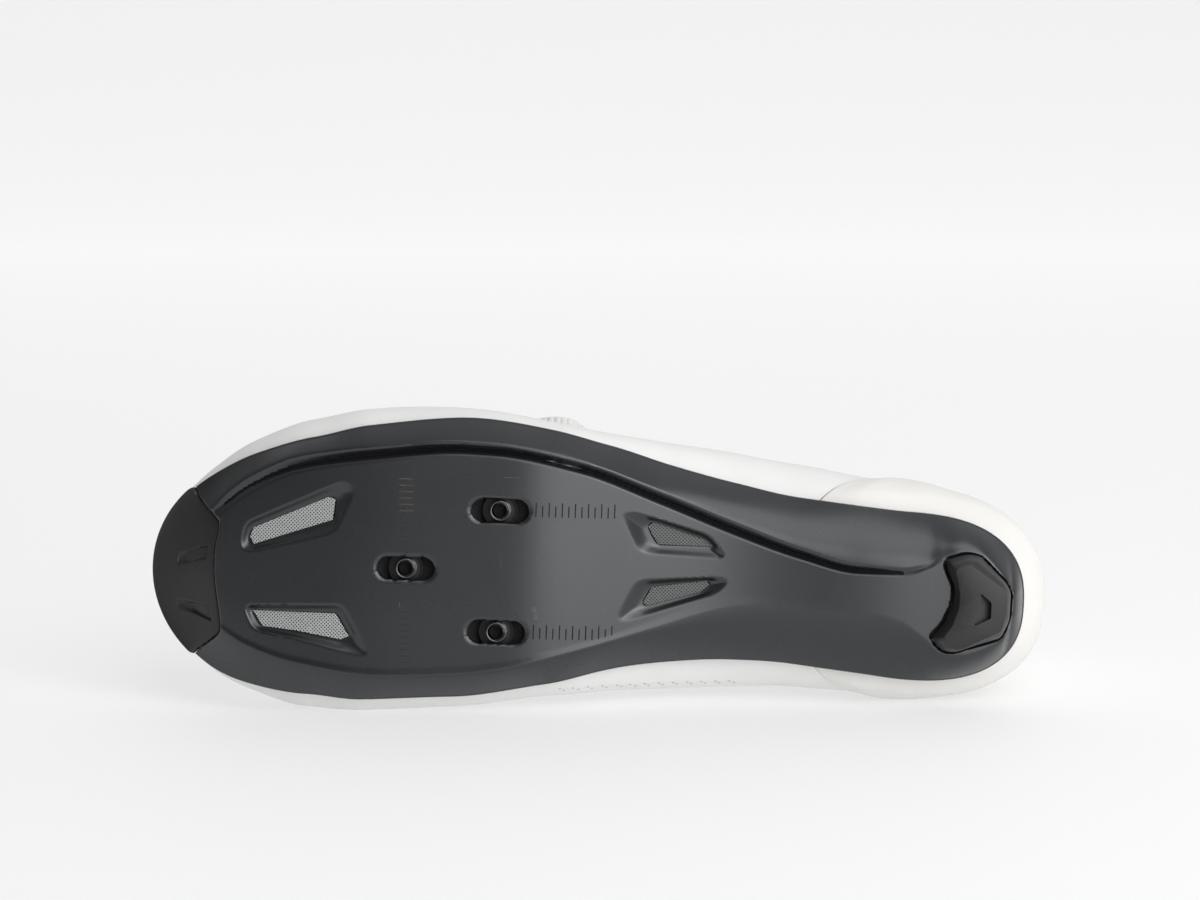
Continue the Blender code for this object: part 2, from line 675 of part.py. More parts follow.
def build_tongue(parts, lining):
    """A padded tongue under the throat, which stands above the collar at its top."""
    stations = column(TONGUE, TONGUE_COLUMNS, "station")
    station = np.linspace(stations[-1], stations[0], 14)[:, None]
    across = np.linspace(-1, 1, 9)[None, :]
    reach = np.abs(across) * smooth(station, stations, column(TONGUE, TONGUE_COLUMNS, "width"))
    turn, rise = section_rise(station * SOLE_LENGTH + 0 * across, across + 0 * station, reach)
    points = skin(turn, rise, -UPPER_WALL - SOFT_GAP)
    tongue = mesh_object("tongue", points.reshape(-1, 3), grid_faces(*points.shape[:2]), parts, lining)
    shell(tongue, TONGUE_WALL)


def build_insole(parts, foam):
    """A cupped footbed: flat on the plate, then up over the turned margin of the upper."""
    turn = np.arange(TURNS) * 2 * math.pi / TURNS
    over = rim_bottom(turn) + RIM_BAND + UPPER_WALL + 3 * CLEARANCE
    ledge = 1 - LASTING_MARGIN
    bed = [inner_face(turn, share + 0 * turn) for share in BED_SHARES]
    step = inner_face(turn, ledge - PLATE_STEP + 0 * turn)
    rings = [raised(ring, SOFT_GAP) for ring in bed[::-1]] + [raised(step, 3 * SOFT_GAP)]
    rings += [on_ray(turn, ledge - PLATE_STEP + INSOLE_LIP / 2, over), on_ray(turn, ledge + INSOLE_LIP, over),
              on_ray(turn, ledge + INSOLE_LIP, over + INSOLE_WALL / 2),
              on_ray(turn, ledge - 2 * PLATE_STEP, over + INSOLE_WALL / 2)]
    rings += [raised(ring, CLEARANCE + INSOLE_WALL) for ring in bed]
    ring_object("insole", rings, parts, foam)


def last_form(name, proud, cutters):
    """The closed form of the last, grown by a distance: what sits on the upper is cut to it."""
    turn = np.arange(TURNS) * 2 * math.pi / TURNS
    start = rim_bottom(turn) + RIM_BAND + CLEARANCE
    rings = [on_ray(turn, 0.0, start), on_ray(turn, 0.9, start)]
    rings += [skin(turn, share, proud) for share in LAST_RINGS]
    rings.append(last_surface(turn, 1.0) + (0, 0, proud))
    return ring_object(name, rings, cutters)


def seat_frame(dial):
    """The middle of a dial on the upper's skin, and the direction out of it."""
    turn = section_rise(np.array([dial["station"] * SOLE_LENGTH]), 1, 1.0)[0]
    low, high = (skin(turn, dial["round"], proud)[0] for proud in (0.0, 1.0))
    return low, high - low


def disc(name, dial, radius, low, high, collection, finish):
    """A round solid on a dial's axis, between two heights over its seat."""
    centre, out = seat_frame(dial)
    work = bmesh.new()
    bmesh.ops.create_cone(work, cap_ends=True, segments=DIAL_SIDES, radius1=radius * MM,
                          radius2=radius * MM, depth=(high - low) * MM)
    mesh = bpy.data.meshes.new(name)
    work.to_mesh(mesh)
    work.free()
    mesh.materials.append(finish)
    made = bpy.data.objects.new(name, mesh)
    collection.objects.link(made)
    made.parent = bpy.data.objects["stance"]
    axis = Vector(place(out)).normalized()
    middle = Vector(place(centre + out * (low + high) / 2))
    made.matrix_local = Matrix.Translation(middle) @ axis.to_track_quat("Z", "X").to_matrix().to_4x4()
    return made


def build_dials(parts, cutters, plastic):
    grown = last_form("last_outside", SKIN_GAP, cutters)
    for name, dial in DIALS.items():
        base = disc("dial_base_" + name, dial, DIAL_BASE / 2, -DIAL_BASE / 4, DIAL_BASE_WALL, parts, plastic)
        boolean(base, grown)
        low = DIAL_BASE_WALL + CLEARANCE
        knob = disc("dial_knob_" + name, dial, DIAL_KNOB / 2, low, low + DIAL_KNOB_WALL, parts, plastic)
        bevel = knob.modifiers.new("bevel", "BEVEL")
        bevel.width = DIAL_BEVEL * MM
        bevel.segments = 2


def lace_route(dial):
    """The lace's points: out of the dial, across the tongue, round the guide and back."""
    rear, front = (share * SOLE_LENGTH for share in dial["exits"])
    sweep = np.linspace(LACE_START, -LACE_REACH, 13)
    bend = np.radians(np.linspace(-90, 90, 7)[1:-1])
    middle, half = (rear + front) / 2, (front - rear) / 2
    along = np.concatenate([rear + 0 * sweep, middle + half * np.sin(bend), front + 0 * sweep])
    across = np.concatenate([sweep, -LACE_REACH - LACE_BEND * np.cos(bend), sweep[::-1]])
    turn, rise = section_rise(along, across, np.abs(across))
    sink = np.clip((throat_share(turn) - LACE_EDGE - np.abs(across)) / LACE_DROP, 0, 1)
    on_tongue = LACE / 2 + CLEARANCE - UPPER_WALL - SOFT_GAP
    return skin(turn, rise, LACE_LIFT + (on_tongue - LACE_LIFT) * sink * sink * (3 - 2 * sink))


def tube(name, route, thickness, collection, finish=None):
    """A round cord along a route, made a closed mesh."""
    curve = bpy.data.curves.new(name, "CURVE")
    curve.dimensions = "3D"
    curve.bevel_depth = thickness / 2 * MM
    curve.bevel_resolution = 2
    curve.use_fill_caps = True
    spline = curve.splines.new("POLY")
    spline.points.add(len(route) - 1)
    spline.points.foreach_set("co", np.column_stack([place(route), np.ones(len(route))]).ravel())
    guide = bpy.data.objects.new(name + "_curve", curve)
    bpy.context.scene.collection.objects.link(guide)
    mesh = bpy.data.meshes.new_from_object(guide.evaluated_get(bpy.context.evaluated_depsgraph_get()))
    bpy.data.objects.remove(guide)
    work = bmesh.new()
    work.from_mesh(mesh)
    bmesh.ops.remove_doubles(work, verts=work.verts, dist=1e-6)
    bmesh.ops.recalc_face_normals(work, faces=work.faces)
    work.to_mesh(mesh)
    work.free()
    made = bpy.data.objects.new(name, mesh)
    made.parent = bpy.data.objects["stance"]
    collection.objects.link(made)
    if finish:
        mesh.materials.clear()
        mesh.materials.append(finish)
        mesh.shade_smooth()
    else:
        made.hide_render = True
        made.display_type = "WIRE"
    return made


def build_laces(parts, cutters, cord, plastic):
    for name, dial in DIALS.items():
        route = lace_route(dial)
        tube("lace_" + name, route, LACE, parts, cord)
        rear, front = (share * SOLE_LENGTH for share in dial["exits"])
        along = np.linspace(rear - GUIDE_MARGIN, front + GUIDE_MARGIN, 6)[:, None]
        across = np.linspace(-GUIDE_INNER, -GUIDE_OUTER, 5)[None, :]
        turn, rise = section_rise(along + 0 * across, across + 0 * along, np.abs(across) + 0 * along)
        points = skin(turn, rise, SKIN_GAP)
        guide = mesh_object("lace_guide_" + name, points.reshape(-1, 3), grid_faces(6, 5), parts, plastic)
        shell(guide, GUIDE_WALL, outwards=True)
        boolean(guide, tube("lace_tunnel_" + name, route, LACE + 2 * CLEARANCE, cutters))


def stand_on_floor(stance, parts):
    """Turns the shoe into its stance and brings its box to the floor, over the origin."""
    lean = Matrix.Rotation(math.radians(-LEAN_BACK_DEG), 4, "X")
    stance.matrix_world = lean @ Matrix.Rotation(math.radians(TURN_DEG), 4, "Y")
    bpy.context.view_layer.update()
    graph = bpy.context.evaluated_depsgraph_get()
    corners = []
    for piece in parts.objects:
        evaluated = piece.evaluated_get(graph)
        corners += [evaluated.matrix_world @ vertex.co for vertex in evaluated.data.vertices]
    corners = np.array(corners)
    low, high = corners.min(axis=0), corners.max(axis=0)
    shift = Matrix.Translation((-(low[0] + high[0]) / 2, -(low[1] + high[1]) / 2, -low[2]))
    stance.matrix_world = shift @ stance.matrix_world


def main():
    for old in list(bpy.data.objects):
        bpy.data.objects.remove(old)
    parts = bpy.data.collections.new("cycling_shoe")
    cutters = bpy.data.collections.new("cutters")
    for group in (parts, cutters):
        bpy.context.scene.collection.children.link(group)
    cutters.hide_render = True
    stance = bpy.data.objects.new("stance", None)
    bpy.context.scene.collection.objects.link(stance)
    carbon = material("carbon_composite", (0.035, 0.035, 0.037), 0.42)
    rubber = material("black_rubber", (0.022, 0.022, 0.023), 0.6)
    weave = material("woven_screen", (0.42, 0.42, 0.43), 0.7)
    steel = material("black_steel", (0.05, 0.05, 0.052), 0.35, 0.9)
    microfibre = material("white_microfibre", (0.84, 0.84, 0.82), 0.45)
    panel = material("counter_panel", (0.86, 0.85, 0.82), 0.4)
    lining = material("tongue_lining", (0.75, 0.75, 0.74), 0.6)
    foam = material("insole_cloth", (0.10, 0.10, 0.11), 0.85)
    plastic = material("dial_plastic", (0.70, 0.70, 0.69), 0.35)
    cord = material("lace_cord", (0.55, 0.55, 0.56), 0.4)
    build_outsole(parts, cutters, carbon)
    build_bumper(parts, cutters, rubber)
    build_heel_pad(parts, cutters, rubber)
    build_screens(parts, weave)
    build_nuts(parts, steel)
    build_upper(parts, microfibre)
    build_counter(parts, panel)
    build_tongue(parts, lining)
    build_insole(parts, foam)
    build_dials(parts, cutters, plastic)
    build_laces(parts, cutters, cord, plastic)
    stand_on_floor(stance, parts)


main()
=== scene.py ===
"""A left road cycling shoe, dressed for its photograph, lying on its medial side.

Shapes are worked out in the shoe's own millimetres, along from the heel to the toe, across towards the
lateral side and up from the cleat plane, and are then set into the shoe's place on the floor.
"""

import json
import math

import bmesh
import bpy
import numpy as np
from mathutils import Matrix, Vector


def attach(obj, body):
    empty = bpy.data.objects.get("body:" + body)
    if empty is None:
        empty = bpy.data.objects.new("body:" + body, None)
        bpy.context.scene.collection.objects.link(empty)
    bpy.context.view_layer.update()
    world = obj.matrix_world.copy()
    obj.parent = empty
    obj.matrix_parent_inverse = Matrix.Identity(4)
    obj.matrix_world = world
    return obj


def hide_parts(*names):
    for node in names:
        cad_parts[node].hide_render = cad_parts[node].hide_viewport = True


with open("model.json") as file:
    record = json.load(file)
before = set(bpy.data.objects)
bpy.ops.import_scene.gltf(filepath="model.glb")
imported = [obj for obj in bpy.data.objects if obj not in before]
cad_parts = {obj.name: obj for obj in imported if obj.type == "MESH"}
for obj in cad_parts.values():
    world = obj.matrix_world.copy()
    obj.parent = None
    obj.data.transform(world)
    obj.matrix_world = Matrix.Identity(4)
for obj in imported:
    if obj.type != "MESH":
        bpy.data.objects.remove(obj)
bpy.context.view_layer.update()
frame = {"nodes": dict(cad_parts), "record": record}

# The shoe's place: it leans back by six degrees on its medial side and its toe lies two degrees higher
# than its heel. The middle of the cleat plateau, which the record gives, fixes it on the floor.
LEAN_BACK = math.radians(6.0)
TOE_LIFT = math.radians(2.0)
CLEAT_MIDDLE = (172.0, -2.35, 0.0)
cleat_mount = next(mount for mount in frame["record"]["mounts"] if mount["name"] == "cleat_face")
turned = np.array(Matrix.Rotation(-LEAN_BACK, 3, "X") @ Matrix.Rotation(TOE_LIFT, 3, "Y"))


def in_shoe(points):
    """Shoe millimetres as metres in the unturned stance: toe to -X, instep to +Y, lateral side to +Z."""
    points = np.asarray(points, float)
    return np.stack([-points[..., 0], points[..., 2], points[..., 1]], axis=-1) / 1000


shoe_origin = np.array(cleat_mount["pos_m"]) - turned @ in_shoe(CLEAT_MIDDLE)


def placed(points):
    """Shoe millimetres as world metres: the stance turned, then moved to where the shoe lies."""
    return in_shoe(points) @ turned.T + shoe_origin


# Camera: a 100 mm lens about a metre away, two and a half degrees above the sole's own normal.
LENS = 100.0
STAND_OFF = 1.029
VIEW_RISE = LEAN_BACK + math.radians(2.5)
AIM_SPOT = (134.7, 36.4, 0.0)
aim = Vector(placed(AIM_SPOT))
lens = bpy.data.cameras.new("camera")
lens.lens = LENS
lens.sensor_width = 36.0
lens.clip_end = 20.0
camera = bpy.data.objects.new("camera", lens)
bpy.context.scene.collection.objects.link(camera)
camera.location = aim + STAND_OFF * Vector((0.0, -math.cos(VIEW_RISE), math.sin(VIEW_RISE)))
camera.rotation_euler = (aim - camera.location).to_track_quat("-Z", "Y").to_euler()
bpy.context.scene.camera = camera

# Studio: a white paper sweep that runs up behind the shoe and glows a little more at its back, a white room
# that is brighter at its back and on the right, and four soft boxes round the camera and overhead.
SWEEP_DEPTH = 1.6
SWEEP_RADIUS = 1.2
SWEEP_HALF = 4.0
SWEEP_FRONT = -6.0
SWEEP_TOP = (2.8, 5.0)
SWEEP_GLOW = (0.44, 0.60)
SWEEP_COLOUR = (0.46, 0.462, 0.46)
ROOM_TONES = ((0.0, 0.36), (0.25, 0.50), (0.50, 0.80), (0.75, 0.90), (1.0, 0.90))
ROOM_SIDES = (0.35, 0.85)
# Each soft box has its place and what it faces, its size in metres and its power in watts.
SOFT_BOXES = {
    "soft_box_right": ((1.05, -0.85, 0.85), (0.0, 0.0, 0.05), (0.65, 0.65), 4.0),
    "soft_box_front": ((0.62, -1.20, 0.45), (0.0, 0.0, 0.05), (1.2, 1.1), 11.0),
    "soft_box_high": ((0.42, -0.78, 1.30), (0.0, 0.0, 0.05), (1.2, 0.8), 5.5),
    "soft_box_top": ((0.4, 0.5, 2.6), (0.0, 0.3, 0.05), (2.2, 2.2), 3.0),
}


def new_finish(name, colour, roughness, more=()):
    """A material with one Principled shader: its colour, its roughness and the values of more sockets."""
    made = bpy.data.materials.new(name)
    made.use_nodes = True
    sockets = made.node_tree.nodes["Principled BSDF"].inputs
    for socket, value in (("Base Color", (*colour, 1.0)), ("Roughness", roughness), *more):
        sockets[socket].default_value = value
    return made


def smooth_mesh(name, points, faces, finishes):
    """A smooth mesh in the scene from world points and faces, with its finishes."""
    mesh = bpy.data.meshes.new(name)
    mesh.from_pydata(points.tolist(), [], faces)
    for finish in finishes:
        mesh.materials.append(finish)
    mesh.shade_smooth()
    made = bpy.data.objects.new(name, mesh)
    bpy.context.scene.collection.objects.link(made)
    return made


def surface(name, points, faces, finishes):
    """The same from a list or a grid of points in shoe millimetres."""
    return smooth_mesh(name, placed(np.reshape(points, (-1, 3))), faces, finishes)


def grid(rows, columns, round_rows=False, round_columns=False):
    """Quads of a grid of points, row by row, closed into a ring either way where asked."""
    down = np.arange(rows if round_rows else rows - 1)[:, None]
    over = np.arange(columns if round_columns else columns - 1)[None, :]
    below, beside = (down + 1) % rows * columns, (over + 1) % columns
    corners = [down * columns + over, down * columns + beside, below + beside, below + over]
    return np.stack(corners, axis=-1).reshape(-1, 4).tolist()


def split_place(tree, kind):
    """The three coordinates of a kind, Object or Generated, as sockets of their own."""
    where = tree.nodes.new("ShaderNodeTexCoord")
    apart = tree.nodes.new("ShaderNodeSeparateXYZ")
    tree.links.new(where.outputs[kind], apart.inputs["Vector"])
    return apart.outputs


def spread(tree, factor, low, high, onto=(0.0, 1.0)):
    """A socket's range from low to high, spread evenly over another range and held at its ends."""
    made = tree.nodes.new("ShaderNodeMapRange")
    for socket, value in zip(("From Min", "From Max", "To Min", "To Max"), (low, high, *onto)):
        made.inputs[socket].default_value = value
    tree.links.new(factor, made.inputs["Value"])
    return made.outputs["Result"]


bend = np.linspace(0, math.pi / 2, 40)
profile = [(SWEEP_FRONT, 0.0), *zip(SWEEP_DEPTH + SWEEP_RADIUS * np.sin(bend),
                                    SWEEP_RADIUS * (1 - np.cos(bend))), SWEEP_TOP]
sheet = np.array([(side, depth, height) for depth, height in profile for side in (-SWEEP_HALF, SWEEP_HALF)])
paper = new_finish("sweep_paper", SWEEP_COLOUR, 0.7, [("Emission Color", (1.0, 1.0, 1.0, 1.0))])
paper_tree = paper.node_tree
glow = spread(paper_tree, split_place(paper_tree, "Object")["Y"], -0.4, 1.6, SWEEP_GLOW)
paper_tree.links.new(glow, paper_tree.nodes["Principled BSDF"].inputs["Emission Strength"])
sweep = smooth_mesh("sweep", sheet, grid(len(profile), 2), [paper])

room = bpy.data.worlds.new("room")
room.use_nodes = True
room_tree = room.node_tree
walls = room_tree.nodes["Background"].inputs
facing = split_place(room_tree, "Generated")
shade = room_tree.nodes.new("ShaderNodeValToRGB")
while len(shade.color_ramp.elements) < len(ROOM_TONES):
    shade.color_ramp.elements.new(0.5)
for stop, (place, tone) in zip(shade.color_ramp.elements, ROOM_TONES):
    stop.position = place
    stop.color = (tone, tone, tone, 1.0)
room_tree.links.new(spread(room_tree, facing["Y"], -1.0, 1.0), shade.inputs["Fac"])
room_tree.links.new(shade.outputs["Color"], walls["Color"])
room_tree.links.new(spread(room_tree, facing["X"], -1.0, 1.0, ROOM_SIDES), walls["Strength"])
bpy.context.scene.world = room
bpy.context.scene.view_settings.view_transform = "Standard"

for name, (place, target, size, power) in SOFT_BOXES.items():
    light = bpy.data.lights.new(name, "AREA")
    light.shape = "RECTANGLE"
    light.size, light.size_y = size
    light.energy = power
    box = bpy.data.objects.new(name, light)
    bpy.context.scene.collection.objects.link(box)
    box.location = place
    box.rotation_euler = (Vector(target) - Vector(place)).to_track_quat("-Z", "Y").to_euler()
    box.visible_camera = False

# Outsole: one plate of carbon composite, pressed in a mould. A raised plateau carries the cleat, a groove
# follows it on the lateral side, and the flanks rise to a thin rim that the upper is glued to. The pockets
# behind the slots and the bottom of the groove are painted near black, as painted shade.
SOLE_LENGTH = 273.6
BALL_WIDTH = 86.4
TOE_SPRING = 20.0
ARCH_RISE = 11.0
RIM_RISE = 8.0
RIM_BAND = 3.0
PLATE = 3.0
CLEAT_PLATE = 4.8
TOE_ROUND = 50.0
HEEL_ROUND = 36.5
TOE_FAN = 30.0
CLEAT_STATION = 164.9
NUT_ADVANCE = 28.6
NUT_SPREAD = 37.7
NUT_MIDDLE = -2.35
SLOT_LENGTH = 18.0
SLOT_WIDTH = 7.3
SLOT_LIP = 2.5
NUT_FLANGE = 11.0
NUT_TRAVEL = 5.0
CLEARANCE = 0.3
LEDGE = 0.86
CARBON = (0.020, 0.0205, 0.0215)

SOLE_COLUMNS = ("station", "middle", "breadth", "arch", "toe", "rim")
SOLE = (
    (0.000, -0.093, 0.302, 0.76, 0.00, 1.15),
    (0.133, -0.080, 0.302, 0.76, 0.00, 1.10),
    (0.188, -0.064, 0.300, 0.80, 0.00, 1.05),
    (0.261, -0.041, 0.300, 0.95, 0.00, 1.05),
    (0.334, -0.015, 0.318, 1.00, 0.00, 1.05),
    (0.407, 0.006, 0.353, 0.86, 0.00, 1.00),
    (0.481, 0.023, 0.405, 0.40, 0.00, 1.00),
    (0.545, 0.023, 0.455, 0.00, 0.00, 1.00),
    (0.652, 0.012, 0.500, 0.00, 0.00, 0.90),
    (0.755, -0.018, 0.491, 0.00, 0.00, 0.85),
    (0.817, -0.037, 0.461, 0.00, 0.09, 0.80),
    (0.883, -0.058, 0.445, 0.00, 0.32, 0.75),
    (0.938, -0.072, 0.445, 0.00, 0.62, 0.70),
    (1.000, -0.070, 0.455, 0.00, 1.00, 0.60),
)
# The plateau's two edges, and the width and depth of the groove beside its lateral edge in millimetres.
RELIEF_COLUMNS = ("station", "lateral", "medial", "width", "depth")
RELIEF = (
    (0.016, -0.050, -0.120, 3.0, 0.0),
    (0.024, -0.010, -0.205, 3.0, 0.0),
    (0.055, 0.076, -0.262, 3.0, 0.0),
    (0.075, 0.088, -0.277, 3.0, 0.0),
    (0.098, 0.055, -0.266, 2.8, 0.0),
    (0.114, 0.024, -0.222, 2.8, 0.2),
    (0.147, -0.004, -0.156, 3.0, 0.8),
    (0.192, -0.004, -0.130, 3.6, 1.5),
    (0.261, 0.042, -0.132, 4.2, 1.9),
    (0.329, 0.111, -0.149, 4.8, 2.1),
    (0.422, 0.223, -0.229, 4.9, 2.2),
    (0.513, 0.327, -0.314, 4.6, 2.2),
    (0.610, 0.380, -0.392, 4.5, 2.2),
    (0.650, 0.383, -0.408, 4.6, 2.2),
    (0.740, 0.352, -0.423, 5.2, 2.2),
    (0.831, 0.300, -0.391, 6.0, 1.8),
    (0.888, 0.215, -0.340, 6.5, 1.2),
    (0.926, 0.120, -0.270, 7.0, 0.6),
    (0.962, 0.040, -0.170, 7.0, 0.2),
)
# The groove's middle, its far side and its crest, where the flank starts to climb, as shares of its width.
GROOVE_MIDDLE = 0.42
GROOVE_FAR = 0.62
GROOVE_CREST = 0.85
GROOVE_ROUND = 0.5
BEAD = 0.22
SOFTEN = 18.0
WELL_DEPTH = 1.95
WELL_SHOULDER = 0.7
SLOT_ROUND = 0.75
SEAM_ROUND = 0.5
PAD_TROUGH = 0.7
MERGE = 2e-7
SHARP = math.radians(38)
SLIVER = 1e-8
VENTS = {
    "front_lateral": (
        ((0.896, 0.022), (0.891, 0.108), (0.781, 0.272), (0.770, 0.245), (0.791, 0.097), (0.886, 0.014)),
        ((0.889, 0.058), (0.885, 0.093), (0.796, 0.221), (0.788, 0.214), (0.790, 0.137), (0.884, 0.032)),
    ),
    "front_medial": (
        ((0.890, -0.191), (0.779, -0.171), (0.749, -0.336), (0.755, -0.341), (0.830, -0.289),
         (0.878, -0.269)),
        ((0.883, -0.203), (0.784, -0.197), (0.768, -0.280), (0.777, -0.294), (0.831, -0.271),
         (0.871, -0.259)),
    ),
    "rear_lateral": (
        ((0.463, 0.186), (0.451, 0.193), (0.367, 0.118), (0.347, 0.042), (0.436, 0.057), (0.444, 0.069)),
        ((0.436, 0.150), (0.429, 0.166), (0.366, 0.101), (0.357, 0.078), (0.423, 0.079), (0.430, 0.110)),
    ),
    "rear_medial": (
        ((0.464, -0.181), (0.458, -0.193), (0.358, -0.088), (0.345, -0.052), (0.348, -0.036),
         (0.443, -0.054)),
        ((0.439, -0.131), (0.434, -0.145), (0.371, -0.088), (0.360, -0.060), (0.363, -0.043),
         (0.429, -0.071)),
    ),
}
BUMPER_EDGE = ((0.956, 0.60), (0.956, 0.205), (0.925, 0.117), (0.924, 0.096), (0.929, 0.003),
               (0.928, -0.097), (0.919, -0.264), (0.920, -0.301), (0.954, -0.385), (0.954, -0.90),
               (1.060, -0.90), (1.060, 0.60))
HEEL_PAD = ((0.094, 0.064), (0.071, 0.087), (0.055, 0.080), (0.025, -0.010), (0.019, -0.045), (0.020, -0.148),
            (0.029, -0.211), (0.084, -0.269), (0.095, -0.262), (0.108, -0.219), (0.094, -0.169),
            (0.084, -0.087), (0.083, -0.031), (0.092, 0.030))


def column(table, columns, name):
    """One named column of a table."""
    return np.array([row[columns.index(name)] for row in table], float)


def smooth(x, stations, values):
    """A monotone cubic through the rows of a table: level stretches stay level."""
    step = np.diff(stations)
    slope = np.diff(values) / step
    rising = slope[:-1] * slope[1:] > 0
    total = np.where(rising, slope[:-1] + slope[1:], 1.0)
    inner = np.where(rising, 2 * slope[:-1] * slope[1:] / total, 0.0)
    tangent = np.concatenate([slope[:1], inner, slope[-1:]])
    x = np.clip(x, stations[0], stations[-1])
    at = np.clip(np.searchsorted(stations, x, side="right") - 1, 0, len(step) - 1)
    t = (x - stations[at]) / step[at]
    ends = values[at] * (1 + 2 * t) * (1 - t) ** 2 + values[at + 1] * t * t * (3 - 2 * t)
    bends = tangent[at] * t * (1 - t) ** 2 + tangent[at + 1] * t * t * (t - 1)
    return ends + step[at] * bends


def sole_at(along, name):
    """A column of the sole's table at a distance along the shoe."""
    stations = column(SOLE, SOLE_COLUMNS, "station")
    return smooth(along / SOLE_LENGTH, stations, column(SOLE, SOLE_COLUMNS, name))


def relief_at(along, name):
    """A column of the relief's table at a distance along the shoe."""
    stations = column(RELIEF, RELIEF_COLUMNS, "station")
    return smooth(along / SOLE_LENGTH, stations, column(RELIEF, RELIEF_COLUMNS, name))


def keel(along):
    """Height of the underside along its middle: flat under the cleat, arched, and sprung at the toe."""
    return ARCH_RISE * sole_at(along, "arch") + TOE_SPRING * sole_at(along, "toe")


def half_breadth(along):
    """Half the sole's width, rounded off to nothing at both ends by two superellipses."""
    to_toe = np.clip(1 - (SOLE_LENGTH - along) / TOE_ROUND, 0, 1)
    to_heel = np.clip(1 - along / HEEL_ROUND, 0, 1)
    return BALL_WIDTH * sole_at(along, "breadth") * (1 - to_toe**2) ** 0.5 * (1 - to_heel**2.5) ** 0.4


def ray(turn):
    """A ray's foot on the outline and its start on the spine, for turns round the shoe from the toe."""
    half = SOLE_LENGTH / 2
    reach = half * np.cos(turn)
    foot_along = half + reach
    side = np.sign(np.sin(turn))
    foot_across = BALL_WIDTH * sole_at(foot_along, "middle") + side * half_breadth(foot_along)
    spine_along = half + reach * (1 - TOE_FAN / half * np.abs(reach / half) ** 3)
    return foot_along, foot_across, spine_along, BALL_WIDTH * sole_at(spine_along, "middle")


def ray_length(turn):
    """Length of a ray from the spine to the sole's outline."""
    foot_along, foot_across, spine_along, spine_across = ray(turn)
    return np.hypot(foot_along - spine_along, foot_across - spine_across)


def rim_bottom(turn):
    """Height of the lower corner of the sole's rim."""
    along = ray(turn)[0]
    return keel(along) + RIM_RISE * sole_at(along, "rim")


def on_ray(turn, share, height):
    """Points at a share of the way from the spine to the outline, at a height."""
    foot_along, foot_across, spine_along, spine_across = ray(turn)
    along = spine_along + share * (foot_along - spine_along)
    across = spine_across + share * (foot_across - spine_across)
    return np.stack([along, across, height + 0 * along], axis=-1)


def even_turns(count):
    """Turns whose feet stand evenly round the outline: its length is walked in equal steps."""
    fine = np.linspace(0, 2 * math.pi, 20001)
    foot_along, foot_across = ray(fine)[:2]
    walked = np.concatenate([[0], np.cumsum(np.hypot(np.diff(foot_along), np.diff(foot_across)))])
    return np.interp(np.arange(count) * walked[-1] / count, walked, fine)


def rounded(outline, radius):
    """An outline with each corner turned into a short curve that starts a radius before the corner."""
    outline = np.asarray(outline, float)
    before, after = np.roll(outline, 1, axis=0) - outline, np.roll(outline, -1, axis=0) - outline
    starts = []
    for leg in (before, after):
        length = np.linalg.norm(leg, axis=1, keepdims=True)
        starts.append(outline + leg / length * np.minimum(radius, 0.45 * length))
    t = np.linspace(0, 1, 7)[None, :, None]
    curve = starts[0][:, None] * (1 - t) ** 2 + outline[:, None] * 2 * t * (1 - t) + starts[1][:, None] * t**2
    return curve.reshape(-1, 2)


def flat_outline(shares):
    """Corners given as shares of the sole's length and the ball width, in millimetres."""
    return np.asarray(shares) * (SOLE_LENGTH, BALL_WIDTH)


def gap_to(outline, along, across):
    """Distance from points to a closed outline, below zero inside it."""
    spots = np.stack([along.ravel(), across.ravel()], axis=-1)
    nearest = np.full(len(spots), 1e9)
    inside = np.zeros(len(spots), bool)
    for start, end in zip(outline, np.roll(outline, -1, axis=0)):
        leg = end - start
        t = np.clip(((spots - start) @ leg) / max(leg @ leg, 1e-12), 0, 1)
        nearest = np.minimum(nearest, np.linalg.norm(spots - start - t[:, None] * leg, axis=1))
        crosses = (start[1] > spots[:, 1]) != (end[1] > spots[:, 1])
        rise = leg[1] if leg[1] else 1e-12
        inside ^= crosses & (spots[:, 0] < start[0] + (spots[:, 1] - start[1]) * leg[0] / rise)
    return np.where(inside, -nearest, nearest).reshape(along.shape)


def eased(value):
    """Nought to one with level ends."""
    value = np.clip(value, 0, 1)
    return value * value * (3 - 2 * value)


def rolled_edge(gap, radius):
    """How far a surface falls back towards an edge at distance nought: a quarter circle of a radius."""
    reach = np.clip(1 - np.maximum(gap, 0) / radius, 0, 1)
    return radius * (1 - np.sqrt(1 - reach**2))


def stadium(centre, length, width):
    """A slot's outline along the shoe: two half circles joined by straight sides."""
    angles = np.concatenate([np.linspace(-90, 90, 17), np.linspace(90, 270, 17)])
    shift = np.repeat([1, -1], 17) * (length - width) / 2
    along = centre[0] + shift + width / 2 * np.cos(np.radians(angles))
    return np.column_stack([along, centre[1] + width / 2 * np.sin(np.radians(angles))])


nut_places = {
    "front": (CLEAT_STATION + NUT_ADVANCE, NUT_MIDDLE),
    "rear_lateral": (CLEAT_STATION, NUT_MIDDLE + NUT_SPREAD / 2),
    "rear_medial": (CLEAT_STATION, NUT_MIDDLE - NUT_SPREAD / 2),
}
mouths = {name: rounded(flat_outline(pair[0]), 2.4) for name, pair in VENTS.items()}
screens = {name: rounded(flat_outline(pair[1]), 1.6) for name, pair in VENTS.items()}
slots = {name: stadium(centre, SLOT_LENGTH, SLOT_WIDTH) for name, centre in nut_places.items()}
bumper_outline = rounded(flat_outline(BUMPER_EDGE), 3.0)
pad_outline = rounded(flat_outline(HEEL_PAD), 1.6)


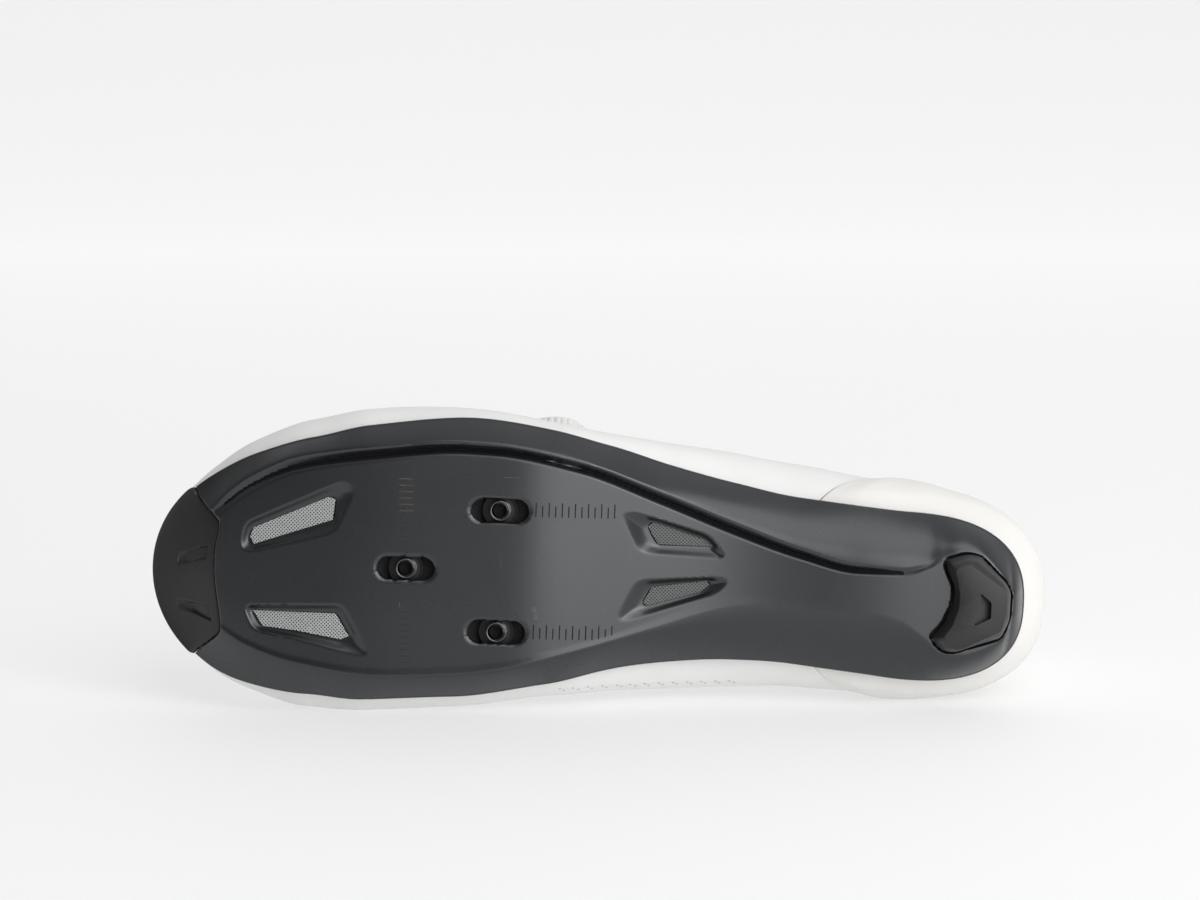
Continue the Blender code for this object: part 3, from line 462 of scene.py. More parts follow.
def sole_relief(along, across, edge_gap, rim_climb):
    """Height of the moulded underside over the keel, from the distance to the sole's edge.

    The flanks climb to the rim as a power of the way there, on the lateral side from the groove's crest. The
    groove is 1 - sin of the distance from its middle, rounded at its bottom, and a fine bead runs along the
    medial edge.
    """
    lateral, medial = BALL_WIDTH * relief_at(along, "lateral"), BALL_WIDTH * relief_at(along, "medial")
    width, depth = relief_at(along, "width"), relief_at(along, "depth")
    ends = SOLE_LENGTH * column(RELIEF, RELIEF_COLUMNS, "station")[[0, -1]]
    beyond_end = np.maximum(np.maximum(ends[0] - along, along - ends[1]), 0)
    out_lateral, out_medial = across - lateral, medial - across
    crest = GROOVE_CREST * width * eased(depth / 0.8)
    outside = np.hypot(np.maximum(np.maximum(out_lateral - crest, out_medial), 0), beyond_end)
    reach = outside / (outside + edge_gap + 1e-6)
    waist = eased((130 - along) / 40)
    height = rim_climb * reach ** (1.2 + 0.5 * waist)
    off_middle = out_lateral - GROOVE_MIDDLE * width
    half = np.where(off_middle < 0, GROOVE_MIDDLE, GROOVE_FAR) * width
    away = (np.hypot(off_middle, GROOVE_ROUND) - GROOVE_ROUND) / (np.hypot(half, GROOVE_ROUND) - GROOVE_ROUND)
    height = height + depth * (1 - np.sin(math.pi / 2 * np.clip(away, 0, 1))) * (beyond_end <= 0)
    round_over = 1.0 + 0.9 * waist
    bead = np.exp(-((out_medial + round_over) / round_over) ** 2) * eased((along - 50) / 50)
    bead = bead * eased((262 - along) / 20)
    return height - BEAD * bead


def soft_keel(along):
    """The keel with its bends eased: a weighted mean of it over a short way either side."""
    offsets = np.linspace(-1, 1, 9)
    weights = np.cos(offsets * math.pi / 2 * 0.9)
    return sum(w * keel(along + SOFTEN * o) for o, w in zip(offsets, weights)) / weights.sum()


def underside(turn, share):
    """The sole's underside on a grid of turns and shares, with its relief."""
    spot = on_ray(turn, share, 0.0)
    along, across = spot[..., 0], spot[..., 1]
    level = soft_keel(along)
    climb = rim_bottom(turn) - soft_keel(ray(turn)[0])
    height = level + sole_relief(along, across, (1 - share) * ray_length(turn), climb)
    height = height + share**6 * (rim_bottom(turn) - level - climb)
    return np.stack([along, across, height], axis=-1)


def sewn(made, merged=False, collapsed=False):
    """A closed mesh with its faces turned outwards, its doubled points merged and its slivers gone."""
    work = bmesh.new()
    work.from_mesh(made.data)
    if merged:
        bmesh.ops.remove_doubles(work, verts=work.verts, dist=MERGE)
    if collapsed:
        bmesh.ops.dissolve_degenerate(work, edges=work.edges, dist=SLIVER)
    bmesh.ops.recalc_face_normals(work, faces=work.faces)
    work.to_mesh(made.data)
    work.free()
    return made


def closed_rings(name, rings, finish):
    """A closed surface from rings round the shoe, with its two spines sewn up."""
    rings = np.asarray(rings)
    made = surface(name, rings, grid(*rings.shape[:2], round_columns=True), [finish])
    return sewn(made, merged=True, collapsed=True)


def tube_faces(rows, count):
    """Faces of a tube of rings, with one face at each end."""
    ends = [list(range(count)), [(rows - 1) * count + i for i in range(count)]]
    return grid(rows, count, round_columns=True) + ends


def prism(name, outlines, heights):
    """A closed cutter through outlines at heights, one above another."""
    levels = [np.column_stack([spots, np.broadcast_to(height, len(spots))])
              for spots, height in zip(outlines, heights)]
    return sewn(surface(name, levels, tube_faces(len(levels), len(levels[0])), []))


def cut(target, cutters, operation="DIFFERENCE"):
    """The target with its cutters taken away, or kept to them, as one plain mesh with crisp corners kept."""
    for cutter in cutters:
        step = target.modifiers.new(cutter.name, "BOOLEAN")
        step.operation = operation
        step.solver = "MANIFOLD"
        step.object = cutter
    mesh = bpy.data.meshes.new_from_object(target.evaluated_get(bpy.context.evaluated_depsgraph_get()))
    mesh.name = target.name
    target.modifiers.clear()
    target.data = mesh
    for cutter in cutters:
        bpy.data.objects.remove(cutter)
    mesh.shade_smooth()
    mesh.set_sharp_from_angle(angle=SHARP)
    return target


def bumped(made, height, distance):
    """A height, a socket, as bump of a depth in metres, on top of any bump that the finish has."""
    tree = made.node_tree
    normal = tree.nodes["Principled BSDF"].inputs["Normal"]
    bump = tree.nodes.new("ShaderNodeBump")
    bump.inputs["Distance"].default_value = distance
    tree.links.new(height, bump.inputs["Height"])
    if normal.links:
        tree.links.new(normal.links[0].from_socket, bump.inputs["Normal"])
    tree.links.new(bump.outputs["Normal"], normal)


def varied(made, socket, factor, low, high):
    """A socket of the finish that runs between two values, or two colours, with a factor."""
    tree = made.node_tree
    coloured = isinstance(low, tuple)
    mix = tree.nodes.new("ShaderNodeMix")
    mix.data_type = "RGBA" if coloured else "FLOAT"
    for end, value in zip((6, 7) if coloured else (2, 3), (low, high)):
        mix.inputs[end].default_value = (*value, 1.0) if coloured else value
    tree.links.new(factor, mix.inputs[0])
    tree.links.new(mix.outputs[2 if coloured else 0], tree.nodes["Principled BSDF"].inputs[socket])


def clouded(made, scale, detail, ranges=(), bump=0.0):
    """Noise on the piece's own coordinates, in features per metre, that sockets follow from low to high.

    It can also stand up as bump of a depth in metres. Its socket comes back for what else follows it.
    """
    tree = made.node_tree
    where = tree.nodes.new("ShaderNodeTexCoord")
    cloud = tree.nodes.new("ShaderNodeTexNoise")
    cloud.inputs["Scale"].default_value = scale
    cloud.inputs["Detail"].default_value = detail
    tree.links.new(where.outputs["Object"], cloud.inputs["Vector"])
    for socket, low, high in ranges:
        varied(made, socket, cloud.outputs["Fac"], low, high)
    if bump:
        bumped(made, cloud.outputs["Fac"], bump)
    return cloud.outputs["Fac"]


carbon = new_finish("carbon_composite", CARBON, 0.40,
                    [("Specular IOR Level", 0.80), ("Specular Tint", (0.93, 0.96, 1.0, 1.0))])
clouded(carbon, 45.0, 4.0, [("Base Color", (0.004, 0.0041, 0.0045), (0.008, 0.0082, 0.0089))])
clouded(carbon, 60.0, 3.0, [("Roughness", 0.25, 0.30)])
clouded(carbon, 1600.0, 3.0, bump=0.00001)

# The sole's grid has the same turns on both sides, and its shares crowd together towards the outline.
HALF_TURNS = 430
SHARES = 104
half_turns = even_turns(2 * HALF_TURNS)[:HALF_TURNS + 1]
half_turns = np.concatenate([half_turns[half_turns < math.pi - 1e-3], [math.pi]])
half_turns[0] = 0.0
turns = np.concatenate([half_turns, 2 * math.pi - half_turns[-2:0:-1]])[None, :]
shares = np.linspace(0, 1, SHARES)[:, None] ** 0.85


def screen_wells(along, across):
    """Depth of the sloped wells round the vents: none at the mouth, full at the screen, rounded between."""
    depth = 0 * along
    for name in VENTS:
        to_mouth, to_screen = gap_to(mouths[name], along, across), gap_to(screens[name], along, across)
        inward = np.maximum(-to_mouth + WELL_SHOULDER, 0)
        slope = inward / (inward + np.maximum(to_screen, 0) + 1e-6)
        depth = np.maximum(depth, WELL_DEPTH * np.sin(np.clip(slope, 0, 1) * math.pi / 2) ** 1.25)
    return depth


face = underside(turns, shares)
along, across = face[..., 0], face[..., 1]
face[..., 2] += screen_wells(along, across)
for slot in slots.values():
    face[..., 2] += rolled_edge(gap_to(slot, along, across), SLOT_ROUND)
face[..., 2] += rolled_edge(gap_to(bumper_outline, along, across), SEAM_ROUND)
pad_gap = gap_to(pad_outline, along, across)
face[..., 2] += PAD_TROUGH * eased(1 - (pad_gap - 0.25) / 0.6)
turn = turns[0]


def plate_wall(along):
    """Thickness of the plate, greatest where the cleat bolts on."""
    reach = np.abs(along - CLEAT_STATION - NUT_ADVANCE / 2) - NUT_ADVANCE / 2 - SLOT_LENGTH
    return PLATE + (CLEAT_PLATE - PLATE) * np.clip(1 - reach / SLOT_LENGTH, 0, 1)


def inside_of_plate(turn):
    """Rings of the face that the insole lies on: the plain underside raised by the plate's wall."""
    rings = []
    for share in (0.81, 0.6, 0.3, 0.0):
        spot = on_ray(turn, share, 0.0)
        level = keel(spot[..., 0])
        spot[..., 2] = level + (rim_bottom(turn) - level) * np.clip((share - 0.6) / 0.4, 0, 1) ** 1.4
        spot[..., 2] += plate_wall(spot[..., 0])
        rings.append(spot)
    return rings


def rim_rings(turn, proud):
    """The rim from its lower corner, which is rounded, up to the ledge that the upper is glued to."""
    length = ray_length(turn)
    low, high = rim_bottom(turn) - proud, rim_bottom(turn) + RIM_BAND
    out = 1 + proud / length
    rings = [on_ray(turn, out + rise / length, low + lift) for rise, lift in ((0.25, 0.15), (0.4, 0.5))]
    rings += [on_ray(turn, out + 0.4 / length, high - 0.5), on_ray(turn, out + 0.15 / length, high - 0.1)]
    rings += [on_ray(turn, out - 0.3 / length, high), on_ray(turn, LEDGE + 0 * turn, high)]
    return rings


rings = list(face) + rim_rings(turn, 0.0) + inside_of_plate(turn)
outsole = closed_rings("outsole_relief", rings, carbon)
cutters = []
for name, outline in screens.items():
    low = keel(outline[:, 0])
    cutters.append(prism("screen_hole_" + name, [outline, outline], [low - 1.0, low + 3 * CLEAT_PLATE]))
pocket = NUT_FLANGE + 2 * CLEARANCE
for name, centre in nut_places.items():
    cutters.append(prism("slot_" + name, [slots[name]] * 2, [-CLEAT_PLATE, CLEAT_PLATE + 1]))
    room_outline = stadium(centre, pocket + 2 * NUT_TRAVEL + CLEARANCE, pocket)
    cutters.append(prism("pocket_" + name, [room_outline] * 2, [SLOT_LIP, 3 * CLEAT_PLATE]))
seat = flat_outline(BUMPER_EDGE)
seat[:-2, 0] -= CLEARANCE / 2
seat[-2:, 0] += CLEARANCE / 2
seat = rounded(seat, 3.0)
cutters.append(prism("bumper_seat", [seat] * 2, [-TOE_SPRING, 4 * TOE_SPRING]))
cut(outsole, cutters)
# Painted shade: a near-black finish for the slot pockets and the bottom of the groove.
painted_shade_finish = new_finish("slot_and_groove_painted_shade", (0.002, 0.002, 0.002), 0.7, [("Specular IOR Level", 0.15)])
clouded(painted_shade_finish, 900.0, 3.0, [("Base Color", (0.0015, 0.0015, 0.0016), (0.004, 0.004, 0.0042))])
outsole.data.materials.append(painted_shade_finish)
# Painted shade: near-black faces near a slot, behind its rolled edge, and in the bottom of the groove.
SLOT_NEAR = 3.0
SLOT_DEEP = 0.85
GROOVE_BOTTOM = 0.55
middles = np.empty(len(outsole.data.polygons) * 3)
outsole.data.polygons.foreach_get("center", middles)
in_stance = (middles.reshape(-1, 3) - shoe_origin) @ turned * 1000
along, height, across = -in_stance[:, 0], in_stance[:, 1], in_stance[:, 2]
near_nut = np.zeros(len(in_stance), bool)
for slot in slots.values():
    near_nut |= gap_to(slot, along, across) < SLOT_NEAR
dark = near_nut & (height > SLOT_DEEP) & (height < 3 * CLEAT_PLATE)
off_middle = across - BALL_WIDTH * relief_at(along, "lateral") - GROOVE_MIDDLE * relief_at(along, "width")
in_groove = (np.abs(off_middle) < GROOVE_BOTTOM) & (relief_at(along, "depth") > 0.7)
dark |= in_groove & (height < keel(along) + 2.6)
dark_slot = len(outsole.data.materials) - 1
outsole.data.polygons.foreach_set("material_index", dark.astype(np.int32) * dark_slot)
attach(outsole, "shoe")
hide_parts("outsole")

# Cleat marks: two dark scales moulded behind the rear slots, and one along each side of the front slot that
# is worn, partly tan and partly faint. They show how far the cleat has been moved, and are so shallow that
# they are drawn as thin bars.
SCALE_BARS = 13
BAR_STEP = 2.03
BAR_LONG = 4.4
BAR_SHORT = 3.4
BAR_WIDTH = 0.36
MARK_PROUD = 0.03
REAR_SCALES = ((153.8, 15.0), (153.4, -22.9))
FRONT_LINE = 195.4
FRONT_SLANT = 0.037
FRONT_LATERAL = 25.4 - 1.97 * np.arange(11)
FRONT_MEDIAL = -15.9 - 1.95 * np.arange(9)
TAN_BARS = 6
TAN_LONG = 4.3
FAINT_LONG = 2.8


def unit(vectors):
    """Vectors of the same directions and of length one."""
    return vectors / np.linalg.norm(vectors, axis=-1, keepdims=True)


def bars(name, starts, ends, finish, width=BAR_WIDTH):
    """Flat bars on the plateau from start to end points, of one width, as one mesh."""
    starts, ends = np.asarray(starts, float), np.asarray(ends, float)
    way = unit(ends - starts)
    side = np.stack([-way[:, 1], way[:, 0]], axis=-1) * width / 2
    flat = np.stack([starts - side, starts + side, ends + side, ends - side], axis=1).reshape(-1, 2)
    points = np.column_stack([flat, soft_keel(flat[:, 0]) - MARK_PROUD])
    made = surface(name, points, np.arange(len(points)).reshape(-1, 4).tolist(), [finish])
    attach(made, "shoe")
    return made


def front_bars(name, levels, long, finish):
    """Bars of the front scale at levels across the shoe, all from one slanting line."""
    line = FRONT_LINE + FRONT_SLANT * levels
    bars(name, np.column_stack([line, levels]), np.column_stack([line - long, levels]), finish)


mark = new_finish("scale_marks", (0.002, 0.002, 0.002), 0.8, [("Specular IOR Level", 0.1)])
clouded(mark, 260.0, 3.0, [("Base Color", (0.001, 0.001, 0.001), (0.03, 0.028, 0.024))])
steps = np.arange(SCALE_BARS)
reach = np.where(steps % 2 == 0, BAR_LONG, BAR_SHORT)
starts, ends = [], []
for first, across_low in REAR_SCALES:
    station = first - BAR_STEP * steps
    starts += np.column_stack([station, across_low + 0 * station]).tolist()
    ends += np.column_stack([station, across_low + reach]).tolist()
bars("cleat_scale_rear", starts, ends, mark)
tan = new_finish("worn_marks", (0.05, 0.042, 0.03), 0.6)
clouded(tan, 420.0, 3.0, [("Base Color", (0.012, 0.011, 0.010), (0.085, 0.070, 0.048))])
faint = new_finish("faint_marks", (0.004, 0.004, 0.004), 0.5, [("Specular IOR Level", 0.55)])
clouded(faint, 420.0, 3.0, [("Roughness", 0.4, 0.6)])
front_bars("cleat_scale_front", FRONT_LATERAL[:TAN_BARS], TAN_LONG, tan)
front_bars("cleat_scale_faint", np.concatenate([FRONT_LATERAL[TAN_BARS:], FRONT_MEDIAL]), FAINT_LONG, faint)

# Scuffs: two fine scratches, a rubbed patch and a speck on the plateau, from use.
scuffed = new_finish("scuffed_carbon", (0.05, 0.05, 0.052), 0.5)
clouded(scuffed, 900.0, 4.0, [("Base Color", (0.008, 0.008, 0.009), (0.11, 0.11, 0.115))])
bars("scratches", ((164.0, 26.9), (164.2, 2.9)), ((159.4, 27.0), (164.0, -0.9)), scuffed, 0.16)
bars("rubbed_patch", ((153.7, -12.9), (195.2, -13.7)), ((152.7, -16.9), (194.9, -13.7)), scuffed, 1.4)

# Toe bumper: a block of moulded rubber glued into the toe of the plate. It stands half a millimetre
# proud, its edges are rolled, and two shallow wedges are sunk into its face.
BUMPER_PROUD = 0.5
BUMPER_EDGE_PROUD = 0.9
BUMPER_CORNER = 2.4
WEDGE_DEPTH = 1.9
WEDGE_TOE = 0.982
WEDGE_RUN = 11.0
BUMPER_SLOTS = (
    ((0.974, -0.024), (0.937, 0.018), (0.939, -0.029), (0.975, -0.06)),
    ((0.978, -0.184), (0.935, -0.203), (0.931, -0.256), (0.972, -0.213)),
)
rubber = new_finish("black_rubber", (0.020, 0.0203, 0.021), 0.42, [("Specular IOR Level", 0.42)])
clouded(rubber, 90.0, 5.0, [("Base Color", (0.012, 0.012, 0.0128), (0.020, 0.0205, 0.0215))])
clouded(rubber, 2600.0, 2.0, bump=0.00005)

bumper_face = on_ray(turns, shares, 0.0)
along, across = bumper_face[..., 0], bumper_face[..., 1]
bumper_face[..., 2] = soft_keel(along) - BUMPER_PROUD + shares**2.2 * (rim_bottom(turns) - soft_keel(along))
bumper_face[..., 2] += rolled_edge(-gap_to(bumper_outline, along, across), 0.9)
for wedge in BUMPER_SLOTS:
    inner = -gap_to(rounded(flat_outline(wedge), 0.5), along, across)
    slope = np.clip((WEDGE_TOE * SOLE_LENGTH - along) / WEDGE_RUN, 0.12, 1)
    bumper_face[..., 2] += WEDGE_DEPTH * slope * eased((inner + 0.1) / 0.55)
foot_along, foot_across = ray(turn)[:2]
from_seam = np.clip(1 + gap_to(bumper_outline, foot_along, foot_across) / BUMPER_CORNER, 0, 1)
edge_proud = BUMPER_EDGE_PROUD - 1.3 * (1 - np.sqrt(1 - from_seam**2))
bumper_face[..., 2] -= (edge_proud - BUMPER_PROUD) * shares**8
rings = list(bumper_face) + rim_rings(turn, edge_proud) + inside_of_plate(turn)
bumper = closed_rings("toe_bumper_moulded", rings, rubber)
block = flat_outline(BUMPER_EDGE)
block[:-2, 0] += CLEARANCE / 2
block[-2:, 0] += 8
block = rounded(block, 3.0)
cut(bumper, [prism("bumper_block", [block] * 2, [-TOE_SPRING, 4 * TOE_SPRING])], "INTERSECT")
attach(bumper, "shoe")
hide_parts("toe_bumper")

# Heel pad: a replaceable block of moulded rubber with a chamfered edge, sunk a little into the sole. Its
# tread face has one sunk panel with a sloping floor.
PAD_HEIGHT = 8.2
PAD_FACE = ((0.086, 0.034), (0.078, 0.049), (0.069, 0.056), (0.029, -0.03), (0.026, -0.047), (0.026, -0.105),
            (0.031, -0.177), (0.075, -0.249), (0.083, -0.251), (0.097, -0.211), (0.087, -0.169),
            (0.08, -0.103), (0.079, -0.053), (0.083, 0.008))
PAD_MARK = ((0.055, -0.036), (0.041, -0.074), (0.041, -0.14), (0.062, -0.173), (0.066, -0.159),
            (0.058, -0.097), (0.059, -0.041))
pad_seat = float(keel(np.array([0.06 * SOLE_LENGTH]))[0]) - CLEARANCE
pad_floor = pad_seat - PAD_HEIGHT + CLEARANCE


def inset(outline, distance):
    """An outline moved in by a distance, each point along the mean of its two edges' normals."""
    before, after = outline - np.roll(outline, 1, axis=0), np.roll(outline, -1, axis=0) - outline
    normal = np.stack([-(before + after)[:, 1], (before + after)[:, 0]], axis=-1)
    normal = unit(normal)
    area = np.sum(outline[:, 0] * np.roll(outline[:, 1], -1) - outline[:, 1] * np.roll(outline[:, 0], -1))
    return outline + math.copysign(distance, area) * normal


# Each level has its height over the tread face and its share of the way from the foot to the face.
steps = ((1.0, 0.0), (0.975, 0.02), (0.94, 0.14), (0.55, 1.5), (0.42, 2.1), (0.30, 3.2), (0.06, 5.9),
         (0.02, 6.3), (0.06, 6.5), (0.06, 7.0), (0.0, 7.2), (0.0, pad_seat - pad_floor))
face_outline = rounded(flat_outline(PAD_FACE), 1.2)
pad = prism("heel_pad_moulded", [pad_outline + share * (face_outline - pad_outline) for share, _ in steps],
            [pad_floor + lift for _, lift in steps])
pad.data.materials.append(rubber)
mark_outline = rounded(flat_outline(PAD_MARK), 0.8)
levels = [inset(mark_outline, step) for step in (-0.95, -0.75, -0.4, 0.15)]
sunk = np.interp(levels[3][:, 0], (11.0, 17.5), (2.9, 1.3))
cut(pad, [prism("pad_panel", levels, [pad_floor - 0.4, pad_floor, pad_floor + 0.3, pad_floor + sunk])])
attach(pad, "shoe")
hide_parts("heel_pad")

# Vent screens: light grey cloth woven from fine monofilament, glued behind the vents. The weave runs at
# forty five degrees, with dark pores of less than half a millimetre. The rear screens are in more shade.
THREAD_PITCH = 0.00078
SCREEN_SHADED = (0.12, 0.126, 0.124, 1)
weave = new_finish("woven_screen", (0.42, 0.43, 0.43), 0.55)
weave_tree = weave.node_tree
where = weave_tree.nodes.new("ShaderNodeTexCoord")
turn_weave = weave_tree.nodes.new("ShaderNodeMapping")
turn_weave.inputs["Rotation"].default_value = (0.0, math.radians(45), 0.0)
turn_weave.inputs["Scale"].default_value = (2 * math.pi / THREAD_PITCH / 20,) * 3
weave_tree.links.new(where.outputs["Object"], turn_weave.inputs["Vector"])
both = weave_tree.nodes.new("ShaderNodeMath")
both.operation = "MAXIMUM"
for socket, direction in enumerate(("X", "Z")):
    thread = weave_tree.nodes.new("ShaderNodeTexWave")
    thread.wave_type = "BANDS"
    thread.bands_direction = direction
    thread.wave_profile = "SIN"
    thread.inputs["Scale"].default_value = 1.0
    weave_tree.links.new(turn_weave.outputs["Vector"], thread.inputs["Vector"])
    weave_tree.links.new(thread.outputs["Fac"], both.inputs[socket])
pores = spread(weave_tree, both.outputs[0], 0.30, 0.62)
varied(weave, "Base Color", pores, (0.012, 0.013, 0.013), (0.38, 0.395, 0.388))
bumped(weave, both.outputs[0], 0.00018)
shaded_weave = weave.copy()
shaded_weave.name = "woven_screen_shaded"
threads = next(node for node in shaded_weave.node_tree.nodes if node.type == "MIX")
threads.inputs[7].default_value = SCREEN_SHADED
for name in VENTS:
    cloth_here = weave if name.startswith("front") else shaded_weave
    frame["nodes"]["vent_screen_" + name].material_slots[0].material = cloth_here

# Cleat nuts: turned steel barrels, black-finished, with M5 threads. A round flange behind the plate holds
# each one and lets it slide along its slot. The flange, deep in the slot beside the barrel, has a darker,
# duller finish as painted shade.
NUT_BORE = 4.3
NUT_BARREL = 6.4
NUT_FLANGE_WALL = 1.3
NUT_SINK = 0.7
THREAD = 0.8
NUT_STEPS = 64
steel = new_finish("black_steel", (0.12, 0.12, 0.125), 0.10, [("Metallic", 1.0)])
clouded(steel, 700.0, 3.0, [("Roughness", 0.07, 0.14)])
# Painted shade: a darker, duller copy of the steel for the flange deep in the slot.
shade_steel = new_finish("steel_painted_shade", (0.006, 0.006, 0.0065), 0.35, [("Specular IOR Level", 0.25)])
clouded(shade_steel, 900.0, 3.0, [("Roughness", 0.28, 0.48)])


def turned_nut(name, centre):
    """A profile turned round the nut's axis; the bore's radius follows the thread as it winds up."""
    top = SLOT_LIP + CLEARANCE
    bore, barrel, flange = NUT_BORE / 2, NUT_BARREL / 2, NUT_FLANGE / 2
    lip = ((0.36, 0.35), (0.42, 0.14), (0.55, 0.03), (0.70, 0.0), (0.85, 0.03), (0.98, 0.14), (1.05, 0.35))
    rise = ((barrel, -0.05), (barrel + 0.1, 0.0), (flange - 0.9, 0.0), (flange - 0.8, 0.18),
            (flange - 0.6, 0.18), (flange - 0.5, 0.0), (flange - 0.15, 0.0), (flange, 0.15),
            (flange, NUT_FLANGE_WALL - 0.1), (flange - 0.1, NUT_FLANGE_WALL))
    outer = [(bore + r, NUT_SINK + h) for r, h in lip] + [(r, top + h) for r, h in rise]
    inner = np.linspace(top + NUT_FLANGE_WALL, NUT_SINK + 0.5, 40)
    angle = np.linspace(0, 2 * math.pi, NUT_STEPS, endpoint=False)[None, :]
    radius = np.array([r for r, _ in outer])[:, None] + 0 * angle
    height = np.array([h for _, h in outer])[:, None] + 0 * angle
    winding = (inner[:, None] / THREAD + angle / (2 * math.pi)) % 1.0
    thread = bore + 0.42 * (1 - np.abs(2 * winding - 1)) * 0.8
    radius = np.concatenate([radius, thread])
    height = np.concatenate([height, inner[:, None] + 0 * angle])
    along, across = centre[0] + radius * np.cos(angle), centre[1] + radius * np.sin(angle)
    points = np.stack([along, across, height], axis=-1)
    faces = grid(*points.shape[:2], round_rows=True, round_columns=True)
    made = surface(name, points, faces, [steel, shade_steel])
    # Painted shade: the flange's faces take the darker, duller finish.
    row = np.arange(len(faces)) // NUT_STEPS
    shaded_rows = (row > len(lip)) & (row < len(outer))
    made.data.polygons.foreach_set("material_index", shaded_rows.astype(np.int32))
    sewn(made).data.set_sharp_from_angle(angle=math.radians(40))
    return made


for name, centre in nut_places.items():
    nut = turned_nut("barrel_nut_" + name, centre)
    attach(nut, "cleat_nut_" + name)
    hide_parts("cleat_nut_" + name)

# Upper: one piece of white microfibre, lasted, turned under and glued to the sole's ledge. Cloth lines it
# and foam pads its collar, and its cut edge is rolled at the collar and at the throat.
INSTEP_HEIGHT = 100.0
UPPER_WALL = 1.8
SWELL = 10.0
SWELL_HEIGHT = 15.0
REST_PRESS = 1.0
SKIN_GAP = 0.5
COUNTER_WALL = 1.2
COUNTER_FRONT = 0.29
COUNTER_FADE = 0.04
WHITE = (0.76, 0.76, 0.75)
UPPER_COLUMNS = ("station", "ridge", "fullness", "swell_lateral", "swell_medial", "edge_lateral",
                 "edge_medial")
UPPER = (
    (0.000, 1.12, 4.0, 0.72, 0.72, 0.88, 0.88),
    (0.015, 1.12, 4.0, 0.72, 0.66, 0.87, 0.87),
    (0.042, 1.12, 3.9, 0.71, 0.58, 0.81, 0.81),
    (0.086, 1.12, 3.7, 0.70, 0.57, 0.71, 0.72),
    (0.133, 1.10, 3.4, 0.86, 0.67, 0.63, 0.65),
    (0.188, 1.04, 3.0, 0.90, 0.80, 0.60, 0.63),
    (0.261, 1.00, 2.7, 1.02, 0.94, 0.65, 0.68),
    (0.334, 1.00, 2.4, 0.94, 1.10, 0.83, 0.84),
    (0.371, 0.99, 2.3, 0.84, 1.13, 0.915, 0.915),
    (0.407, 0.955, 2.2, 0.72, 1.12, 0.895, 0.895),
    (0.481, 0.875, 2.1, 0.42, 0.92, 0.830, 0.830),
    (0.554, 0.790, 2.1, 0.30, 0.62, 0.760, 0.760),
    (0.640, 0.675, 2.15, 0.36, 0.58, 0.668, 0.668),
    (0.675, 0.630, 2.2, 0.44, 0.60, 0.640, 0.640),
    (0.736, 0.575, 2.2, 0.60, 0.64, 0.600, 0.600),
    (0.817, 0.515, 2.3, 0.68, 0.70, 0.600, 0.600),
    (0.883, 0.480, 2.4, 0.58, 0.44, 0.600, 0.600),
    (0.938, 0.470, 2.5, 0.34, 0.26, 0.600, 0.600),
    (1.000, 0.460, 2.6, 0.02, 0.02, 0.600, 0.600),
)


def upper_at(along, name):
    """A column of the upper's table at a distance along the shoe."""
    stations = column(UPPER, UPPER_COLUMNS, "station")
    return smooth(along / SOLE_LENGTH, stations, column(UPPER, UPPER_COLUMNS, name))


def by_side(turn, along, name):
    """A pair of the upper's columns, lateral and medial, blended by the side that a ray points to."""
    lateral = (1 + np.sin(turn)) / 2
    return lateral * upper_at(along, name + "_lateral") + (1 - lateral) * upper_at(along, name + "_medial")


def upper_foot(turn):
    """Height of the upper's lower edge, a clearance above the sole's rim."""
    return rim_bottom(turn) + RIM_BAND + CLEARANCE


def free_last(turn, rise):
    """The last: a superellipse over each ray, as full as the table says, with the side swell added.

    The swell grows to its full size a little above the sole's edge and then dies away.
    """
    foot_along, foot_across, spine_along, spine_across = ray(turn)
    power = 2 / upper_at(foot_along, "fullness")
    angle = np.clip(rise, 0, 1) * math.pi / 2
    start = upper_foot(turn)
    height = start + (INSTEP_HEIGHT * upper_at(spine_along, "ridge") - start) * np.sin(angle) ** power
    swell = by_side(turn, foot_along, "swell")
    lift = (height - start) / SWELL_HEIGHT
    length = np.hypot(foot_along - spine_along, foot_across - spine_across)
    out = np.clip(np.cos(angle), 0, 1) ** power * (1 + SWELL * swell * lift * np.exp(1 - lift) / length)
    along = spine_along + out * (foot_along - spine_along)
    across = spine_across + out * (foot_across - spine_across)
    return np.stack([along, across, height], axis=-1)


def over_floor(points):
    """How far points of the shoe lie above a plane parallel to the floor."""
    level = math.cos(LEAN_BACK) * (math.sin(TOE_LIFT) * points[..., 0] + math.cos(TOE_LIFT) * points[..., 1])
    return level - math.sin(LEAN_BACK) * points[..., 2]


def counter_room(along):
    """What the heel counter adds outside the upper, at a distance along the shoe."""
    cover = np.clip(1 + (COUNTER_FRONT - along / SOLE_LENGTH) / COUNTER_FADE, 0, 1)
    return cover * (SKIN_GAP + COUNTER_WALL)


probe = free_last(*np.meshgrid(np.linspace(0, 2 * math.pi, 181), np.linspace(0.02, 0.9, 45)))
floor_level = float((over_floor(probe) - counter_room(probe[..., 0])).min()) + REST_PRESS


def last_surface(turn, rise):
    """The last as it lies, its medial side pressed flat where the floor bears it."""
    points = free_last(turn, rise)
    short = floor_level + counter_room(points[..., 0]) - over_floor(points)
    points[..., 1] += np.maximum(short, 0) / (math.cos(LEAN_BACK) * math.cos(TOE_LIFT))
    return points


def skin(turn, rise, proud):
    """Points at a distance outside the last, along the normals that its own differences give."""
    turn, rise = np.broadcast_arrays(np.asarray(turn, float), np.asarray(rise, float))
    small = 1e-3
    inside = np.clip(rise, 0.02, 0.995)
    around = last_surface(turn + small, inside) - last_surface(turn - small, inside)
    upward = last_surface(turn, inside + small) - last_surface(turn, inside - small)
    normal = unit(np.cross(around, upward))
    return last_surface(turn, rise) + np.asarray(proud, float)[..., None] * normal


